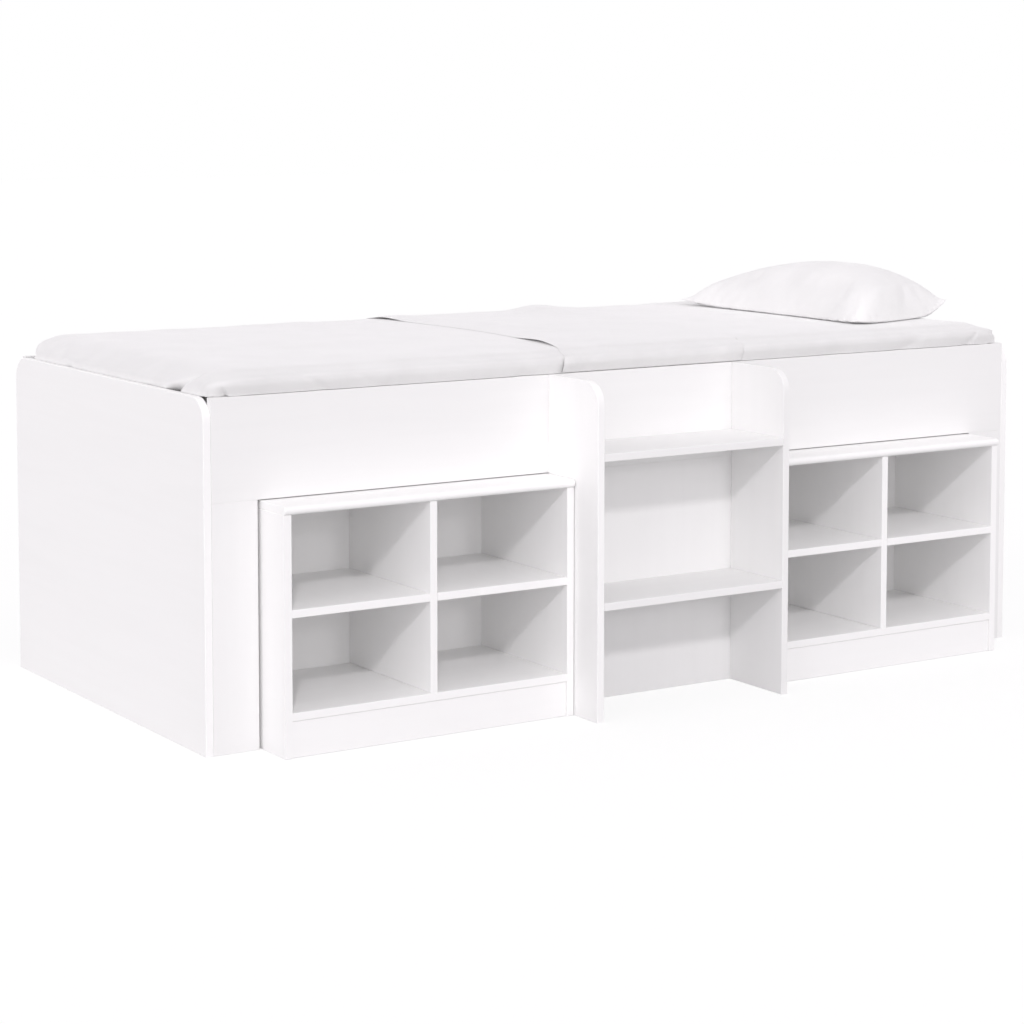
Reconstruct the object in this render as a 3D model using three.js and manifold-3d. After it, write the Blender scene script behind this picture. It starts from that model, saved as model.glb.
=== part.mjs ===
// Loft bed with a step unit in the middle of its front and a bookcase pushed in on either side of it.
// Millimetres, +Z up, +X along the bed towards the pillow, +Y from the front to the back.
// The origin is on the floor, under the middle of the outline.

import * as THREE from 'three';
import { mergeVertices } from 'three/addons/utils/BufferGeometryUtils.js';
import Module from 'manifold-3d';

const wasm = await Module();
wasm.setup();

// Bed frame
const bedLength = 2050;
const bedWidth = 936;
const bedHeight = 690;
const boardThickness = 16;
const cornerRadius = 48;
const railHeight = 202;
const legWidth = 98;

// Joints and edges
const glueLine = 0.1;
const edgeBreak = 1;
const seamBreak = 0.4;
const softClearance = 0.5;

// Slatted base
const slatCount = 14;
const slatWidth = 70;
const slatThickness = 18;
const slatRound = 4;
const ledgeHeight = 30;
const ledgeDepth = 25;

// Corner brackets inside the frame
const bracketLeaf = 40;
const bracketHeight = 44;
const bracketMetal = 3;
const bracketUnderSlats = 4;
const screwHeadRadius = 5.5;
const screwHeadRise = 2.4;
const screwSpacing = 22;

// Step unit
const stepUnitWidth = 486;
const stepUnitDepth = 180;
const lowerStepHeight = 243;
const upperStepHeight = 545.5;

// Bookcases
const bookcaseDepth = 335;
const bookcaseProud = 96;
const bookcaseGapAbove = 2;
const bookcaseGapLeft = 6;
const bookcaseGapRight = 2;
const nosing = 6;
const nosingRadius = 8;
const plinthHeight = 72;
const plinthRecess = 3;
const backThickness = 6;
const backRebate = 8;

// Mattress, in its fitted sheet
const mattressThickness = 150;
const mattressRise = 48;
const mattressSideGap = 5;
const mattressEndGap = 9;
const mattressCorner = 60;
const mattressShoulderIn = 85;
const mattressShoulderDown = 52;
const mattressEndFullness = 2.4;
const mattressSideFullness = 4.6;
const mattressShoulderCrowding = 1.5;
const mattressFoot = 22;
const mattressCornerDraw = 0.6;
const mattressCornerSteps = 6;
const mattressShoulderSteps = 9;
const mattressFootSteps = 3;

// Throw laid across the mattress
const throwFrontLeft = 836;
const throwFrontRight = 1300;
const throwLeftSlant = 14;
const throwThickness = 6;
const throwTailThickness = 3;
const throwTuck = 45;
const throwFreeFrom = 14;
const throwWaist = 52;
const throwSplay = 140;
const throwFoldFade = 0.15;
const throwColumns = 16;
const throwTopSteps = 9;

// Pillow
const pillowWidth = 326;
const pillowLengthFoot = 680;
const pillowLengthHead = 564;
const pillowHeight = 117;
const pillowEndGap = 1;
const pillowFromFront = 70;
const pillowHeadBack = 37;
const pillowPull = 15.5;
const pillowSeam = 12;
const pillowFootLift = 3;
const pillowHeadLift = 32;
const pillowFullAcross = 0.41;
const pillowFullAlong = 0.32;
const pillowFrontSwell = 0.127;
const pillowBellySpread = 2.2;
const pillowColumns = 16;
const pillowRows = 26;

// Worked out from the sizes above
const stepUnitLeft = (bedLength - stepUnitWidth) / 2;
const stepUnitRight = stepUnitLeft + stepUnitWidth;
const innerLeft = boardThickness;
const innerRight = bedLength - boardThickness;
const railBottom = bedHeight - railHeight;
const bayWidth = stepUnitLeft - innerLeft - legWidth;
const bookcaseWidth = bayWidth - bookcaseGapLeft - bookcaseGapRight;
const bookcaseHeight = railBottom - bookcaseGapAbove;
const mattressTop = bedHeight + mattressRise;
const mattressBase = mattressTop - mattressThickness;
const deckTop = mattressBase - softClearance;
const ledgeTop = deckTop - slatThickness - glueLine;
const mattressFront = boardThickness + mattressSideGap;
const mattressBack = bedWidth - mattressFront;

// Finishes
const paint = (color) => new THREE.MeshStandardMaterial({ color, roughness: 0.45, metalness: 0 });
const whiteBoard = () => paint(0xf2f1f3);
const backBoard = () => paint(0xeceaec);
const pine = () => new THREE.MeshStandardMaterial({ color: 0xd9bd92, roughness: 0.7, metalness: 0 });
const cloth = (color) => new THREE.MeshStandardMaterial({ color, roughness: 0.95, metalness: 0 });
const zinc = () => new THREE.MeshStandardMaterial({ color: 0xb9bcc0, roughness: 0.35, metalness: 0.9 });

const axisX = new THREE.Vector3(1, 0, 0);
const axisY = new THREE.Vector3(0, 1, 0);
const axisZ = new THREE.Vector3(0, 0, 1);

function mesh(name, geometry, material, x = 0, y = 0, z = 0) {
  const piece = new THREE.Mesh(geometry, material);
  piece.name = name;
  piece.position.set(x, y, z);
  return piece;
}

// Extrudes an outline to a length, with its end rims broken by a small bevel.
function bar(outline, length, edge, arcSteps = 8) {
  const geometry = new THREE.ExtrudeGeometry(outline, {
    depth: length - 2 * edge,
    bevelEnabled: true,
    bevelThickness: edge,
    bevelSize: edge,
    bevelOffset: -edge,
    bevelSegments: 1,
    curveSegments: arcSteps,
  });
  geometry.translate(0, 0, edge);
  return geometry;
}

// Turns an extrusion so that its outline lies in Y and Z and its length runs along X.
function alongX(geometry) {
  return geometry.applyMatrix4(new THREE.Matrix4().makeBasis(axisY, axisZ, axisX));
}

// Turns an extrusion so that its outline lies in X and Z and its length runs along Y.
function alongY(geometry, length) {
  geometry.applyMatrix4(new THREE.Matrix4().makeBasis(axisX, axisZ, axisY.clone().negate()));
  return geometry.translate(0, length, 0);
}

function rectangle(width, height) {
  const outline = new THREE.Shape();
  outline.moveTo(0, 0);
  outline.lineTo(width, 0);
  outline.lineTo(width, height);
  outline.lineTo(0, height);
  outline.closePath();
  return outline;
}

// A plain board that fills the space between two corners, less a glue line at each end named in fit.
function board(name, low, high, { fit = '', edge = edgeBreak, material = whiteBoard() } = {}) {
  const trim = new THREE.Vector3(...['x', 'y', 'z'].map((axis) => (fit.includes(axis) ? glueLine : 0)));
  const from = new THREE.Vector3(...low).add(trim);
  const size = new THREE.Vector3(...high).sub(trim).sub(from);
  const thin = Math.min(size.x, size.y, size.z);
  let geometry;
  if (thin === size.x) {
    geometry = alongX(bar(rectangle(size.y, size.z), size.x, edge));
  } else if (thin === size.y) {
    geometry = alongY(bar(rectangle(size.x, size.z), size.y, edge), size.y);
  } else {
    geometry = bar(rectangle(size.x, size.y), size.z, edge);
  }
  return mesh(name, geometry, material, from.x, from.y, from.z);
}

// An upright panel with rounded top corners: both of them, or the front one alone.
function roundedPanel(depth, height, roundBack) {
  const outline = new THREE.Shape();
  outline.moveTo(0, 0);
  outline.lineTo(depth, 0);
  if (roundBack) {
    outline.lineTo(depth, height - cornerRadius);
    outline.absarc(depth - cornerRadius, height - cornerRadius, cornerRadius, 0, Math.PI / 2, false);
  } else {
    outline.lineTo(depth, height);
  }
  outline.lineTo(cornerRadius, height);
  outline.absarc(cornerRadius, height - cornerRadius, cornerRadius, Math.PI / 2, Math.PI, false);
  outline.closePath();
  return alongX(bar(outline, boardThickness, edgeBreak));
}

// End panels, rails, legs and the panel behind the steps

function endPanels() {
  return [
    mesh('end_panel_left', roundedPanel(bedWidth, bedHeight, true), whiteBoard(), 0),
    mesh('end_panel_right', roundedPanel(bedWidth, bedHeight, true), whiteBoard(), innerRight),
  ];
}

// One long side of the frame: a rail on two legs.
function longSide(side, y) {
  const legTop = railBottom - glueLine;
  const leg = (end, x) => board(`${side}_leg_${end}`, [x, y, 0], [x + legWidth, y + boardThickness, legTop],
    { fit: 'x', edge: seamBreak });
  return [
    board(`${side}_rail`, [innerLeft, y, railBottom], [innerRight, y + boardThickness, bedHeight],
      { fit: 'x', edge: seamBreak }),
    leg('left', innerLeft),
    leg('right', innerRight - legWidth),
  ];
}

function stepBackPanel() {
  return board('step_back_panel', [stepUnitLeft, 0, 0],
    [stepUnitRight, boardThickness, railBottom - glueLine], { edge: seamBreak });
}

// Slatted base

function roundedBar(width, height, radius) {
  const outline = new THREE.Shape();
  outline.moveTo(radius, 0);
  outline.lineTo(width - radius, 0);
  outline.absarc(width - radius, radius, radius, -Math.PI / 2, 0, false);
  outline.lineTo(width, height - radius);
  outline.absarc(width - radius, height - radius, radius, 0, Math.PI / 2, false);
  outline.lineTo(radius, height);
  outline.absarc(radius, height - radius, radius, Math.PI / 2, Math.PI, false);
  outline.lineTo(0, radius);
  outline.absarc(radius, radius, radius, Math.PI, Math.PI * 1.5, false);
  return outline;
}

function ledges() {
  const ledge = (name, y) => board(name, [innerLeft, y, ledgeTop - ledgeHeight],
    [innerRight, y + ledgeDepth, ledgeTop], { fit: 'x', material: pine() });
  return [
    ledge('slat_ledge_front', boardThickness + glueLine),
    ledge('slat_ledge_back', bedWidth - boardThickness - glueLine - ledgeDepth),
  ];
}

function slats() {
  const span = innerRight - innerLeft;
  const gap = (span - slatCount * slatWidth) / (slatCount + 1);
  const from = boardThickness + glueLine;
  const length = bedWidth - 2 * from;
  return Array.from({ length: slatCount }, (_, index) => {
    const x = innerLeft + gap + index * (slatWidth + gap);
    const section = roundedBar(slatWidth, slatThickness, slatRound);
    const geometry = alongY(bar(section, length, edgeBreak, 3), length);
    return mesh(`slat_${index + 1}`, geometry, pine(), x, from, deckTop - slatThickness);
  });
}

// Corner brackets: an angle of bent steel with two domed screw heads in each leaf

function solid(geometry) {
  const bare = geometry.clone();
  bare.deleteAttribute('normal');
  bare.deleteAttribute('uv');
  const merged = mergeVertices(bare.index ? bare.toNonIndexed() : bare, 1e-4);
  return new wasm.Manifold(new wasm.Mesh({
    numProp: 3,
    vertProperties: new Float32Array(merged.attributes.position.array),
    triVerts: new Uint32Array(merged.index.array),
  }));
}

function fromSolid(shape) {
  const { numProp, vertProperties, triVerts } = shape.getMesh();
  const geometry = new THREE.BufferGeometry();
  geometry.setAttribute('position', new THREE.Float32BufferAttribute(vertProperties, numProp));
  geometry.setIndex(new THREE.Uint32BufferAttribute(triVerts, 1));
  geometry.computeVertexNormals();
  return geometry;
}

function bracketBody() {
  const outline = new THREE.Shape();
  outline.moveTo(0, 0);
  outline.lineTo(bracketLeaf, 0);
  outline.lineTo(bracketLeaf, bracketMetal);
  outline.lineTo(2 * bracketMetal, bracketMetal);
  outline.absarc(2 * bracketMetal, 2 * bracketMetal, bracketMetal, -Math.PI / 2, Math.PI, true);
  outline.lineTo(bracketMetal, bracketLeaf);
  outline.lineTo(0, bracketLeaf);
  outline.closePath();
  return new THREE.ExtrudeGeometry(outline, { depth: bracketHeight, bevelEnabled: false, curveSegments: 4 });
}

// A domed head that stands up from the height zero.
function screwHead() {
  const sunk = bracketMetal / 2;
  const dome = [0, 1, 2, 3].map((step) => {
    const angle = (step / 3) * (Math.PI / 2);
    return new THREE.Vector2(screwHeadRadius * Math.cos(angle), screwHeadRise * Math.sin(angle));
  });
  dome[dome.length - 1].x = 0;
  const profile = [new THREE.Vector2(0, -sunk), new THREE.Vector2(screwHeadRadius, -sunk), ...dome];
  return new THREE.LatheGeometry(profile, 12).rotateX(Math.PI / 2);
}

function bracketGeometry() {
  let shape = solid(bracketBody());
  const middle = (bracketLeaf + bracketMetal) / 2;
  for (const z of [(bracketHeight - screwSpacing) / 2, (bracketHeight + screwSpacing) / 2]) {
    const onFront = screwHead().rotateX(-Math.PI / 2).translate(middle, bracketMetal, z);
    const onSide = screwHead().rotateY(Math.PI / 2).translate(bracketMetal, middle, z);
    shape = shape.add(solid(onFront)).add(solid(onSide));
  }
  return fromSolid(shape);
}

// Turns a bracket about the upright into one of the four corners of the frame.
function brackets() {
  const inset = boardThickness + glueLine;
  const z = ledgeTop - ledgeHeight - bracketUnderSlats - bracketHeight;
  const corners = [
    ['front_left', inset, inset, 0],
    ['front_right', bedLength - inset, inset, 1],
    ['back_right', bedLength - inset, bedWidth - inset, 2],
    ['back_left', inset, bedWidth - inset, 3],
  ];
  return corners.map(([where, x, y, quarter]) => {
    const geometry = bracketGeometry();
    for (let turn = 0; turn < quarter; turn += 1) {
      geometry.applyMatrix4(new THREE.Matrix4().makeBasis(axisY, axisX.clone().negate(), axisZ));
    }
    return mesh(`corner_bracket_${where}`, geometry, zinc(), x, y, z);
  });
}

// Step unit: two sides and two deep treads in front of the bed

function stepUnit() {
  const sideDepth = stepUnitDepth - glueLine;
  const side = (name, x) => mesh(name, roundedPanel(sideDepth, bedHeight, false), whiteBoard(), x,
    -stepUnitDepth);
  const tread = (name, top) => board(name,
    [stepUnitLeft + boardThickness, -stepUnitDepth, top - boardThickness],
    [stepUnitRight - boardThickness, -glueLine, top], { fit: 'x' });
  return [
    side('step_side_left', stepUnitLeft),
    side('step_side_right', stepUnitRight - boardThickness),
    tread('lower_step', lowerStepHeight),
    tread('upper_step', upperStepHeight),
  ];
}

// Bookcase, built with its front left foot at the origin

// A side's plan: a straight board with a rebate for the back panel at its inner rear edge.
function sidePlan(mirrored) {
  const depth = bookcaseDepth;
  const points = [
    [0, 0], [boardThickness, 0], [boardThickness, depth - backThickness - glueLine],
    [boardThickness - backRebate, depth - backThickness - glueLine],
    [boardThickness - backRebate, depth], [0, depth],
  ].map(([x, y]) => new THREE.Vector2(mirrored ? boardThickness - x : x, y));
  return new THREE.Shape(mirrored ? points.reverse() : points);
}

// The top's section in Y and Z: a half round nosing in front.
function topSection() {
  const reach = bookcaseDepth + nosing;
  const outline = new THREE.Shape();
  outline.moveTo(nosingRadius, 0);
  outline.lineTo(reach, 0);
  outline.lineTo(reach, boardThickness);
  outline.lineTo(nosingRadius, boardThickness);
  outline.absarc(nosingRadius, boardThickness - nosingRadius, nosingRadius, Math.PI / 2, Math.PI, false);
  outline.absarc(nosingRadius, nosingRadius, nosingRadius, Math.PI, Math.PI * 1.5, false);
  return outline;
}

function bookcase(where, x) {
  const sideHeight = bookcaseHeight - boardThickness - glueLine;
  const right = bookcaseWidth - boardThickness;
  const middle = bookcaseWidth / 2;
  const dividerLeft = middle - boardThickness / 2;
  const dividerRight = dividerLeft + boardThickness;
  const inside = bookcaseDepth - backThickness - glueLine;
  const floorTop = plinthHeight + boardThickness;
  const shelfTop = (floorTop + sideHeight + boardThickness) / 2;
  const shelfLow = shelfTop - boardThickness;
  const name = (piece) => `bookcase_${where}_${piece}`;
  const backLow = [boardThickness - backRebate, inside + glueLine, plinthHeight];
  const backHigh = [bookcaseWidth - boardThickness + backRebate, bookcaseDepth, sideHeight];
  const side = (end, mirrored, at) => mesh(name(`side_${end}`),
    bar(sidePlan(mirrored), sideHeight, edgeBreak), whiteBoard(), at, 0, 0);
  const top = mesh(name('top'), alongX(bar(topSection(), bookcaseWidth, edgeBreak, 6)), whiteBoard(),
    0, -nosing, bookcaseHeight - boardThickness);
  const unit = new THREE.Group();
  unit.position.set(x, -bookcaseProud, 0);
  unit.add(
    side('left', false, 0),
    side('right', true, right),
    top,
    board(name('floor'), [boardThickness, 0, plinthHeight], [right, inside, floorTop], { fit: 'x' }),
    board(name('plinth'), [boardThickness, plinthRecess, 0],
      [right, plinthRecess + boardThickness, plinthHeight - glueLine], { fit: 'x' }),
    board(name('divider'), [dividerLeft, 0, floorTop], [dividerRight, inside, sideHeight], { fit: 'z' }),
    board(name('shelf_left'), [boardThickness, 0, shelfLow], [dividerLeft, inside, shelfTop], { fit: 'x' }),
    board(name('shelf_right'), [dividerRight, 0, shelfLow], [right, inside, shelfTop], { fit: 'x' }),
    board(name('back'), backLow, backHigh, { fit: 'xz', edge: seamBreak, material: backBoard() }),
  );
  return unit;
}

function bookcases() {
  return [
    bookcase('left', innerLeft + legWidth + bookcaseGapLeft),
    bookcase('right', stepUnitRight + bookcaseGapLeft),
  ];
}

// Soft pieces

// Joins a grid of outer points and a grid of inner points, same rows and columns, into a closed sheet.
function closedSheet(outer, inner) {
  const rows = outer.length;
  const columns = outer[0].length;
  const positions = [...outer.flat(), ...inner.flat()].flatMap((point) => point.toArray());
  const outerAt = (row, column) => row * columns + column;
  const innerAt = (row, column) => rows * columns + outerAt(row, column);
  const index = [];
  const quad = (a, b, c, d) => index.push(a, b, c, a, c, d);
  for (let row = 0; row < rows - 1; row += 1) {
    for (let column = 0; column < columns - 1; column += 1) {
      quad(outerAt(row, column), outerAt(row, column + 1), outerAt(row + 1, column + 1),
        outerAt(row + 1, column));
      quad(innerAt(row, column), innerAt(row + 1, column), innerAt(row + 1, column + 1),
        innerAt(row, column + 1));
    }
  }
  for (let row = 0; row < rows - 1; row += 1) {
    quad(innerAt(row, 0), outerAt(row, 0), outerAt(row + 1, 0), innerAt(row + 1, 0));
    quad(outerAt(row, columns - 1), innerAt(row, columns - 1), innerAt(row + 1, columns - 1),
      outerAt(row + 1, columns - 1));
  }
  for (let column = 0; column < columns - 1; column += 1) {
    quad(innerAt(0, column + 1), outerAt(0, column + 1), outerAt(0, column), innerAt(0, column));
    quad(innerAt(rows - 1, column), outerAt(rows - 1, column), outerAt(rows - 1, column + 1),
      innerAt(rows - 1, column + 1));
  }
  const geometry = new THREE.BufferGeometry();
  geometry.setAttribute('position', new THREE.Float32BufferAttribute(positions, 3));
  geometry.setIndex(index);
  return mergeVertices(geometry, 1e-4);
}

// How the mattress's edge is shaped, its shoulder rounder or fuller: pairs of distance in from its side and
// height above its base.
function mattressEdge(fullness) {
  const foot = Array.from({ length: mattressFootSteps + 1 }, (_, step) => {
    const angle = (step / mattressFootSteps) * (Math.PI / 2);
    return [mattressFoot * (1 - Math.sin(angle)), mattressFoot * (1 - Math.cos(angle))];
  });
  const shoulder = Array.from({ length: mattressShoulderSteps + 1 }, (_, step) => {
    const angle = (step / mattressShoulderSteps) ** mattressShoulderCrowding * (Math.PI / 2);
    const out = Math.cos(angle) ** (2 / mattressEndFullness);
    const sink = 1 - (1 - out ** fullness) ** (1 / fullness);
    return [mattressShoulderIn * (1 - out), mattressThickness - mattressShoulderDown * sink];
  });
  return [...foot, ...shoulder];
}

// A ring of points: a rectangle with round corners, drawn in from the mattress's sides, with one height at
// its ends and another along its long sides.
function mattressRing(inset, endHeight, sideHeight) {
  const halfLength = (innerRight - innerLeft) / 2 - mattressEndGap - inset;
  const halfWidth = (mattressBack - mattressFront) / 2 - inset;
  const radius = mattressCorner - mattressCornerDraw * inset;
  const ring = [];
  for (let corner = 0; corner < 4; corner += 1) {
    const signX = corner === 0 || corner === 3 ? 1 : -1;
    const signY = corner < 2 ? 1 : -1;
    for (let step = 0; step <= mattressCornerSteps; step += 1) {
      const angle = (corner + step / mattressCornerSteps) * (Math.PI / 2);
      ring.push(new THREE.Vector3(
        signX * (halfLength - radius) + radius * Math.cos(angle),
        signY * (halfWidth - radius) + radius * Math.sin(angle),
        THREE.MathUtils.lerp(endHeight, sideHeight, Math.sin(angle) ** 2),
      ));
    }
  }
  return ring;
}

// A stack of rings from the bottom up, closed by a flat fan at each end.
function ringStack(rings) {
  const count = rings[0].length;
  const positions = rings.flat().flatMap((point) => point.toArray());
  const index = [];
  for (let level = 0; level < rings.length - 1; level += 1) {
    for (let step = 0; step < count; step += 1) {
      const next = (step + 1) % count;
      const [a, b] = [level * count + step, level * count + next];
      const [c, d] = [a + count, b + count];
      index.push(a, b, d, a, d, c);
    }
  }
  const lastLevel = (rings.length - 1) * count;
  for (let step = 1; step < count - 1; step += 1) {
    index.push(0, step + 1, step);
    index.push(lastLevel, lastLevel + step, lastLevel + step + 1);
  }
  const geometry = new THREE.BufferGeometry();
  geometry.setAttribute('position', new THREE.Float32BufferAttribute(positions, 3));
  geometry.setIndex(index);
  return mergeVertices(geometry, 1e-4);
}

function mattress() {
  const side = mattressEdge(mattressSideFullness);
  const rings = mattressEdge(mattressEndFullness).map(([inset, endHeight], ring) => (
    mattressRing(inset, endHeight, side[ring][1])));
  return mesh('mattress', ringStack(rings), cloth(0xf1f0f2), bedLength / 2, bedWidth / 2, mattressBase);
}

// The throw's path over the mattress from front to back: points in Y and Z, each with its outward normal,
// how thick the cloth is there and how far along the path it is, from 0 to 1.
function throwPath() {
  const shoulder = mattressEdge(mattressSideFullness).slice(mattressFootSteps + 1);
  const tail = [[0, mattressThickness - mattressShoulderDown - throwTuck]];
  const rise = [...tail, ...shoulder].map(([inset, height]) => (
    [mattressFront + inset, mattressBase + height]));
  const flatFrom = mattressFront + mattressShoulderIn;
  const flatTo = bedWidth - flatFrom;
  const flat = Array.from({ length: throwTopSteps - 1 }, (_, step) => (
    [flatFrom + ((step + 1) / throwTopSteps) * (flatTo - flatFrom), mattressTop]));
  const fall = rise.map(([y, z]) => [bedWidth - y, z]).reverse();
  const points = [...rise, ...flat, ...fall].map(([y, z]) => new THREE.Vector2(y, z));
  return points.map((point, index) => {
    const before = points[Math.max(index - 1, 0)];
    const after = points[Math.min(index + 1, points.length - 1)];
    const run = after.clone().sub(before).normalize();
    const tucked = point.y <= bedHeight + throwFreeFrom;
    return {
      at: point,
      normal: new THREE.Vector2(-run.y, run.x),
      thickness: tucked ? throwTailThickness : throwThickness,
      share: (point.x - mattressFront) / (mattressBack - mattressFront),
      tucked,
    };
  });
}

// A low fold: a bell over the cloth that fades out along its length.
function fold(across, along, { at, width, height, from, to }) {
  const bell = Math.exp(-(((across - at) / width) ** 2));
  const starts = THREE.MathUtils.smoothstep(along, from - throwFoldFade, from);
  const ends = THREE.MathUtils.smoothstep(along, to, to + throwFoldFade);
  return height * bell * starts * (1 - ends);
}

const throwFolds = [
  { at: 0.87, width: 0.1, height: 11, from: 0.78, to: 1.1 },
  { at: 0.62, width: 0.11, height: 4, from: 0.55, to: 0.95 },
  { at: 0.12, width: 0.07, height: 5, from: -0.1, to: 0.16 },
  { at: 0.34, width: 0.08, height: 3.5, from: -0.1, to: 0.3 },
];

function throwGeometry() {
  const path = throwPath();
  const outer = [];
  const inner = [];
  for (const { at, normal, thickness, share, tucked } of path) {
    const left = throwFrontLeft + throwLeftSlant * share + throwWaist * Math.sin(Math.PI * share);
    const right = throwFrontRight + throwSplay * share;
    const outerRow = [];
    const innerRow = [];
    for (let column = 0; column <= throwColumns; column += 1) {
      const across = column / throwColumns;
      const lift = tucked ? 0 : throwFolds.reduce((sum, one) => sum + fold(across, share, one), 0);
      const x = THREE.MathUtils.lerp(left, right, across);
      const place = (off) => new THREE.Vector3(x, at.x + normal.x * off, at.y + normal.y * off);
      innerRow.push(place(softClearance + lift));
      outerRow.push(place(softClearance + lift + thickness));
    }
    outer.push(outerRow);
    inner.push(innerRow);
  }
  return closedSheet(outer, inner);
}

// A pillow: two crowned faces that meet in a seam. Its sides pull in between the four ears, and the ears at
// the bed's head are drawn together and turn up. Across runs from foot to head and along from front to back,
// both from -1 to 1.
function pillowPoints(across, along) {
  const headward = (across + 1) / 2;
  const halfLength = THREE.MathUtils.lerp(pillowLengthFoot, pillowLengthHead, headward) / 2;
  const roundAcross = Math.max(1 - across ** 2, 0);
  const roundAlong = Math.max(1 - along ** 2, 0);
  const x = (pillowWidth / 2) * across - pillowPull * across * roundAlong;
  const y = halfLength * along - pillowPull * along * roundAcross + pillowHeadBack * headward;
  const lift = THREE.MathUtils.lerp(pillowFootLift, pillowHeadLift, headward);
  const seam = pillowSeam + lift * Math.abs(across * along) ** 3;
  const swell = roundAcross ** pillowFullAcross * roundAlong ** pillowFullAlong;
  const crown = seam + (pillowHeight - seam) * swell * (1 - pillowFrontSwell * along);
  const belly = seam * (1 - Math.min(1, pillowBellySpread * swell));
  return [new THREE.Vector3(x, y, crown), new THREE.Vector3(x, y, belly)];
}

function pillowGeometry() {
  const rows = Array.from({ length: pillowRows + 1 }, (_, row) => -Math.cos((row / pillowRows) * Math.PI));
  const columns = Array.from({ length: pillowColumns + 1 }, (_, column) => (
    -Math.cos((column / pillowColumns) * Math.PI)));
  const points = rows.map((along) => columns.map((across) => pillowPoints(across, along)));
  return closedSheet(points.map((row) => row.map(([crown]) => crown)),
    points.map((row) => row.map(([, belly]) => belly)));
}

function softPieces() {
  const pillowX = innerRight - mattressEndGap - pillowEndGap - pillowWidth / 2;
  const pillowY = mattressFront + pillowFromFront + pillowLengthFoot / 2;
  return [
    mattress(),
    mesh('throw', throwGeometry(), cloth(0xefeef0)),
    mesh('pillow', pillowGeometry(), cloth(0xf7f7f8), pillowX, pillowY, mattressTop + softClearance),
  ];
}

// The whole bed, moved so that the origin is under the middle of its outline

const bed = new THREE.Group();
bed.add(
  ...endPanels(),
  ...longSide('front', 0),
  ...longSide('back', bedWidth - boardThickness),
  stepBackPanel(),
  ...ledges(),
  ...slats(),
  ...brackets(),
  ...stepUnit(),
  ...bookcases(),
  ...softPieces(),
);
bed.position.set(-bedLength / 2, -(bedWidth - stepUnitDepth) / 2, 0);

export default bed;
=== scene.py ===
"""The looks of a low loft bed with steps and pull-out bookcases, dressed over its fixed frame.

Lengths are metres, with +X along the bed towards the pillow, +Y from the front to the back and +Z up.
"""

import logging
import math
from dataclasses import dataclass
from enum import Enum

import bpy
import numpy as np
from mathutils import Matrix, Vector


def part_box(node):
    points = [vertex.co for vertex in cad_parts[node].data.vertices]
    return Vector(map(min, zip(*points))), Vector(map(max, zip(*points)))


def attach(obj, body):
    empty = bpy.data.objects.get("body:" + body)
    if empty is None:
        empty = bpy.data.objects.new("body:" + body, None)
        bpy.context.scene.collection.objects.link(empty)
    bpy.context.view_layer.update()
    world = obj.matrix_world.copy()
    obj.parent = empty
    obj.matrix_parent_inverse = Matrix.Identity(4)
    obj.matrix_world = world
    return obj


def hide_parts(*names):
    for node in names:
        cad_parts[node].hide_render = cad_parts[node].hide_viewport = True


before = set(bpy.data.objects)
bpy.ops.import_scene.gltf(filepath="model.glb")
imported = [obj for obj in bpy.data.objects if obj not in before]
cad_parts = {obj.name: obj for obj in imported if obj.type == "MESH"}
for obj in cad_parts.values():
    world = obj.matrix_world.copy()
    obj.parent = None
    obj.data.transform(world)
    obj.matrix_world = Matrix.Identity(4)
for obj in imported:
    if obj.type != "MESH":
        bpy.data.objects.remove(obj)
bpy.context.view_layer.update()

Array = np.ndarray
Pair = tuple[float, float]
Triple = tuple[float, float, float]
Piece = bpy.types.Object
Material = bpy.types.Material
Node = bpy.types.Node
Socket = bpy.types.NodeSocket

MM = 0.001
WELD = 1e-5
WELD_SHIFT = 0.37
NEAREST_BLOCK = 500
BAND_WIDTH = 0.314

log = logging.getLogger("loft_bed")


# Arrays and meshes


def smoothstep(low: float, high: float, value: Array) -> Array:
    """Eases from 0 at low to 1 at high.

    Args:
        low: where the ramp starts.
        high: where the ramp ends.
        value: the numbers to ease.

    Returns:
        3 t² - 2 t³ of the clamped share t.
    """
    t = np.clip((value - low) / (high - low), 0.0, 1.0)
    return t * t * (3.0 - 2.0 * t)


def lerp(a: float, b: float, share: Array) -> Array:
    """Returns the straight blend from a to b."""
    return a + (b - a) * share


def bell(distance: Array, width: float | Array) -> Array:
    """Returns a bell curve: exp(-(distance / width)²)."""
    return np.exp(-((distance / width) ** 2))


def rumple(x: Array, y: Array, length: float, seed: int, waves: int = 9) -> Array:
    """A soft uneven surface between about -1 and 1: a sum of sine waves in seeded directions.

    Args:
        x: first coordinate of each point.
        y: second coordinate of each point.
        length: the typical wavelength.
        seed: picks the directions and phases.
        waves: how many waves are summed.

    Returns:
        The height at each point.
    """
    rng = np.random.default_rng(seed)
    angle = rng.uniform(0.0, math.tau, waves)
    pitch = length * rng.uniform(0.7, 1.6, waves)
    phase = rng.uniform(0.0, math.tau, waves)
    along = x[..., None] * np.cos(angle) + y[..., None] * np.sin(angle)
    spread = 1.4 * math.sqrt(waves)
    return np.sin(math.tau * along / pitch + phase).sum(-1) / spread


def grid_quads(rows: int, columns: int, closed: bool = False) -> Array:
    """Index quads of a grid of points stored row by row.

    Args:
        rows: how many rows of points.
        columns: how many points in a row.
        closed: whether each row joins its last point to its first.

    Returns:
        An array of quads, four indices each.
    """
    across = columns if closed else columns - 1
    row, column = np.meshgrid(np.arange(rows - 1), np.arange(across), indexing="ij")
    following = (column + 1) % columns
    a = row * columns + column
    b = row * columns + following
    return np.stack([a, b, b + columns, a + columns], -1).reshape(-1, 4)


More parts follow.
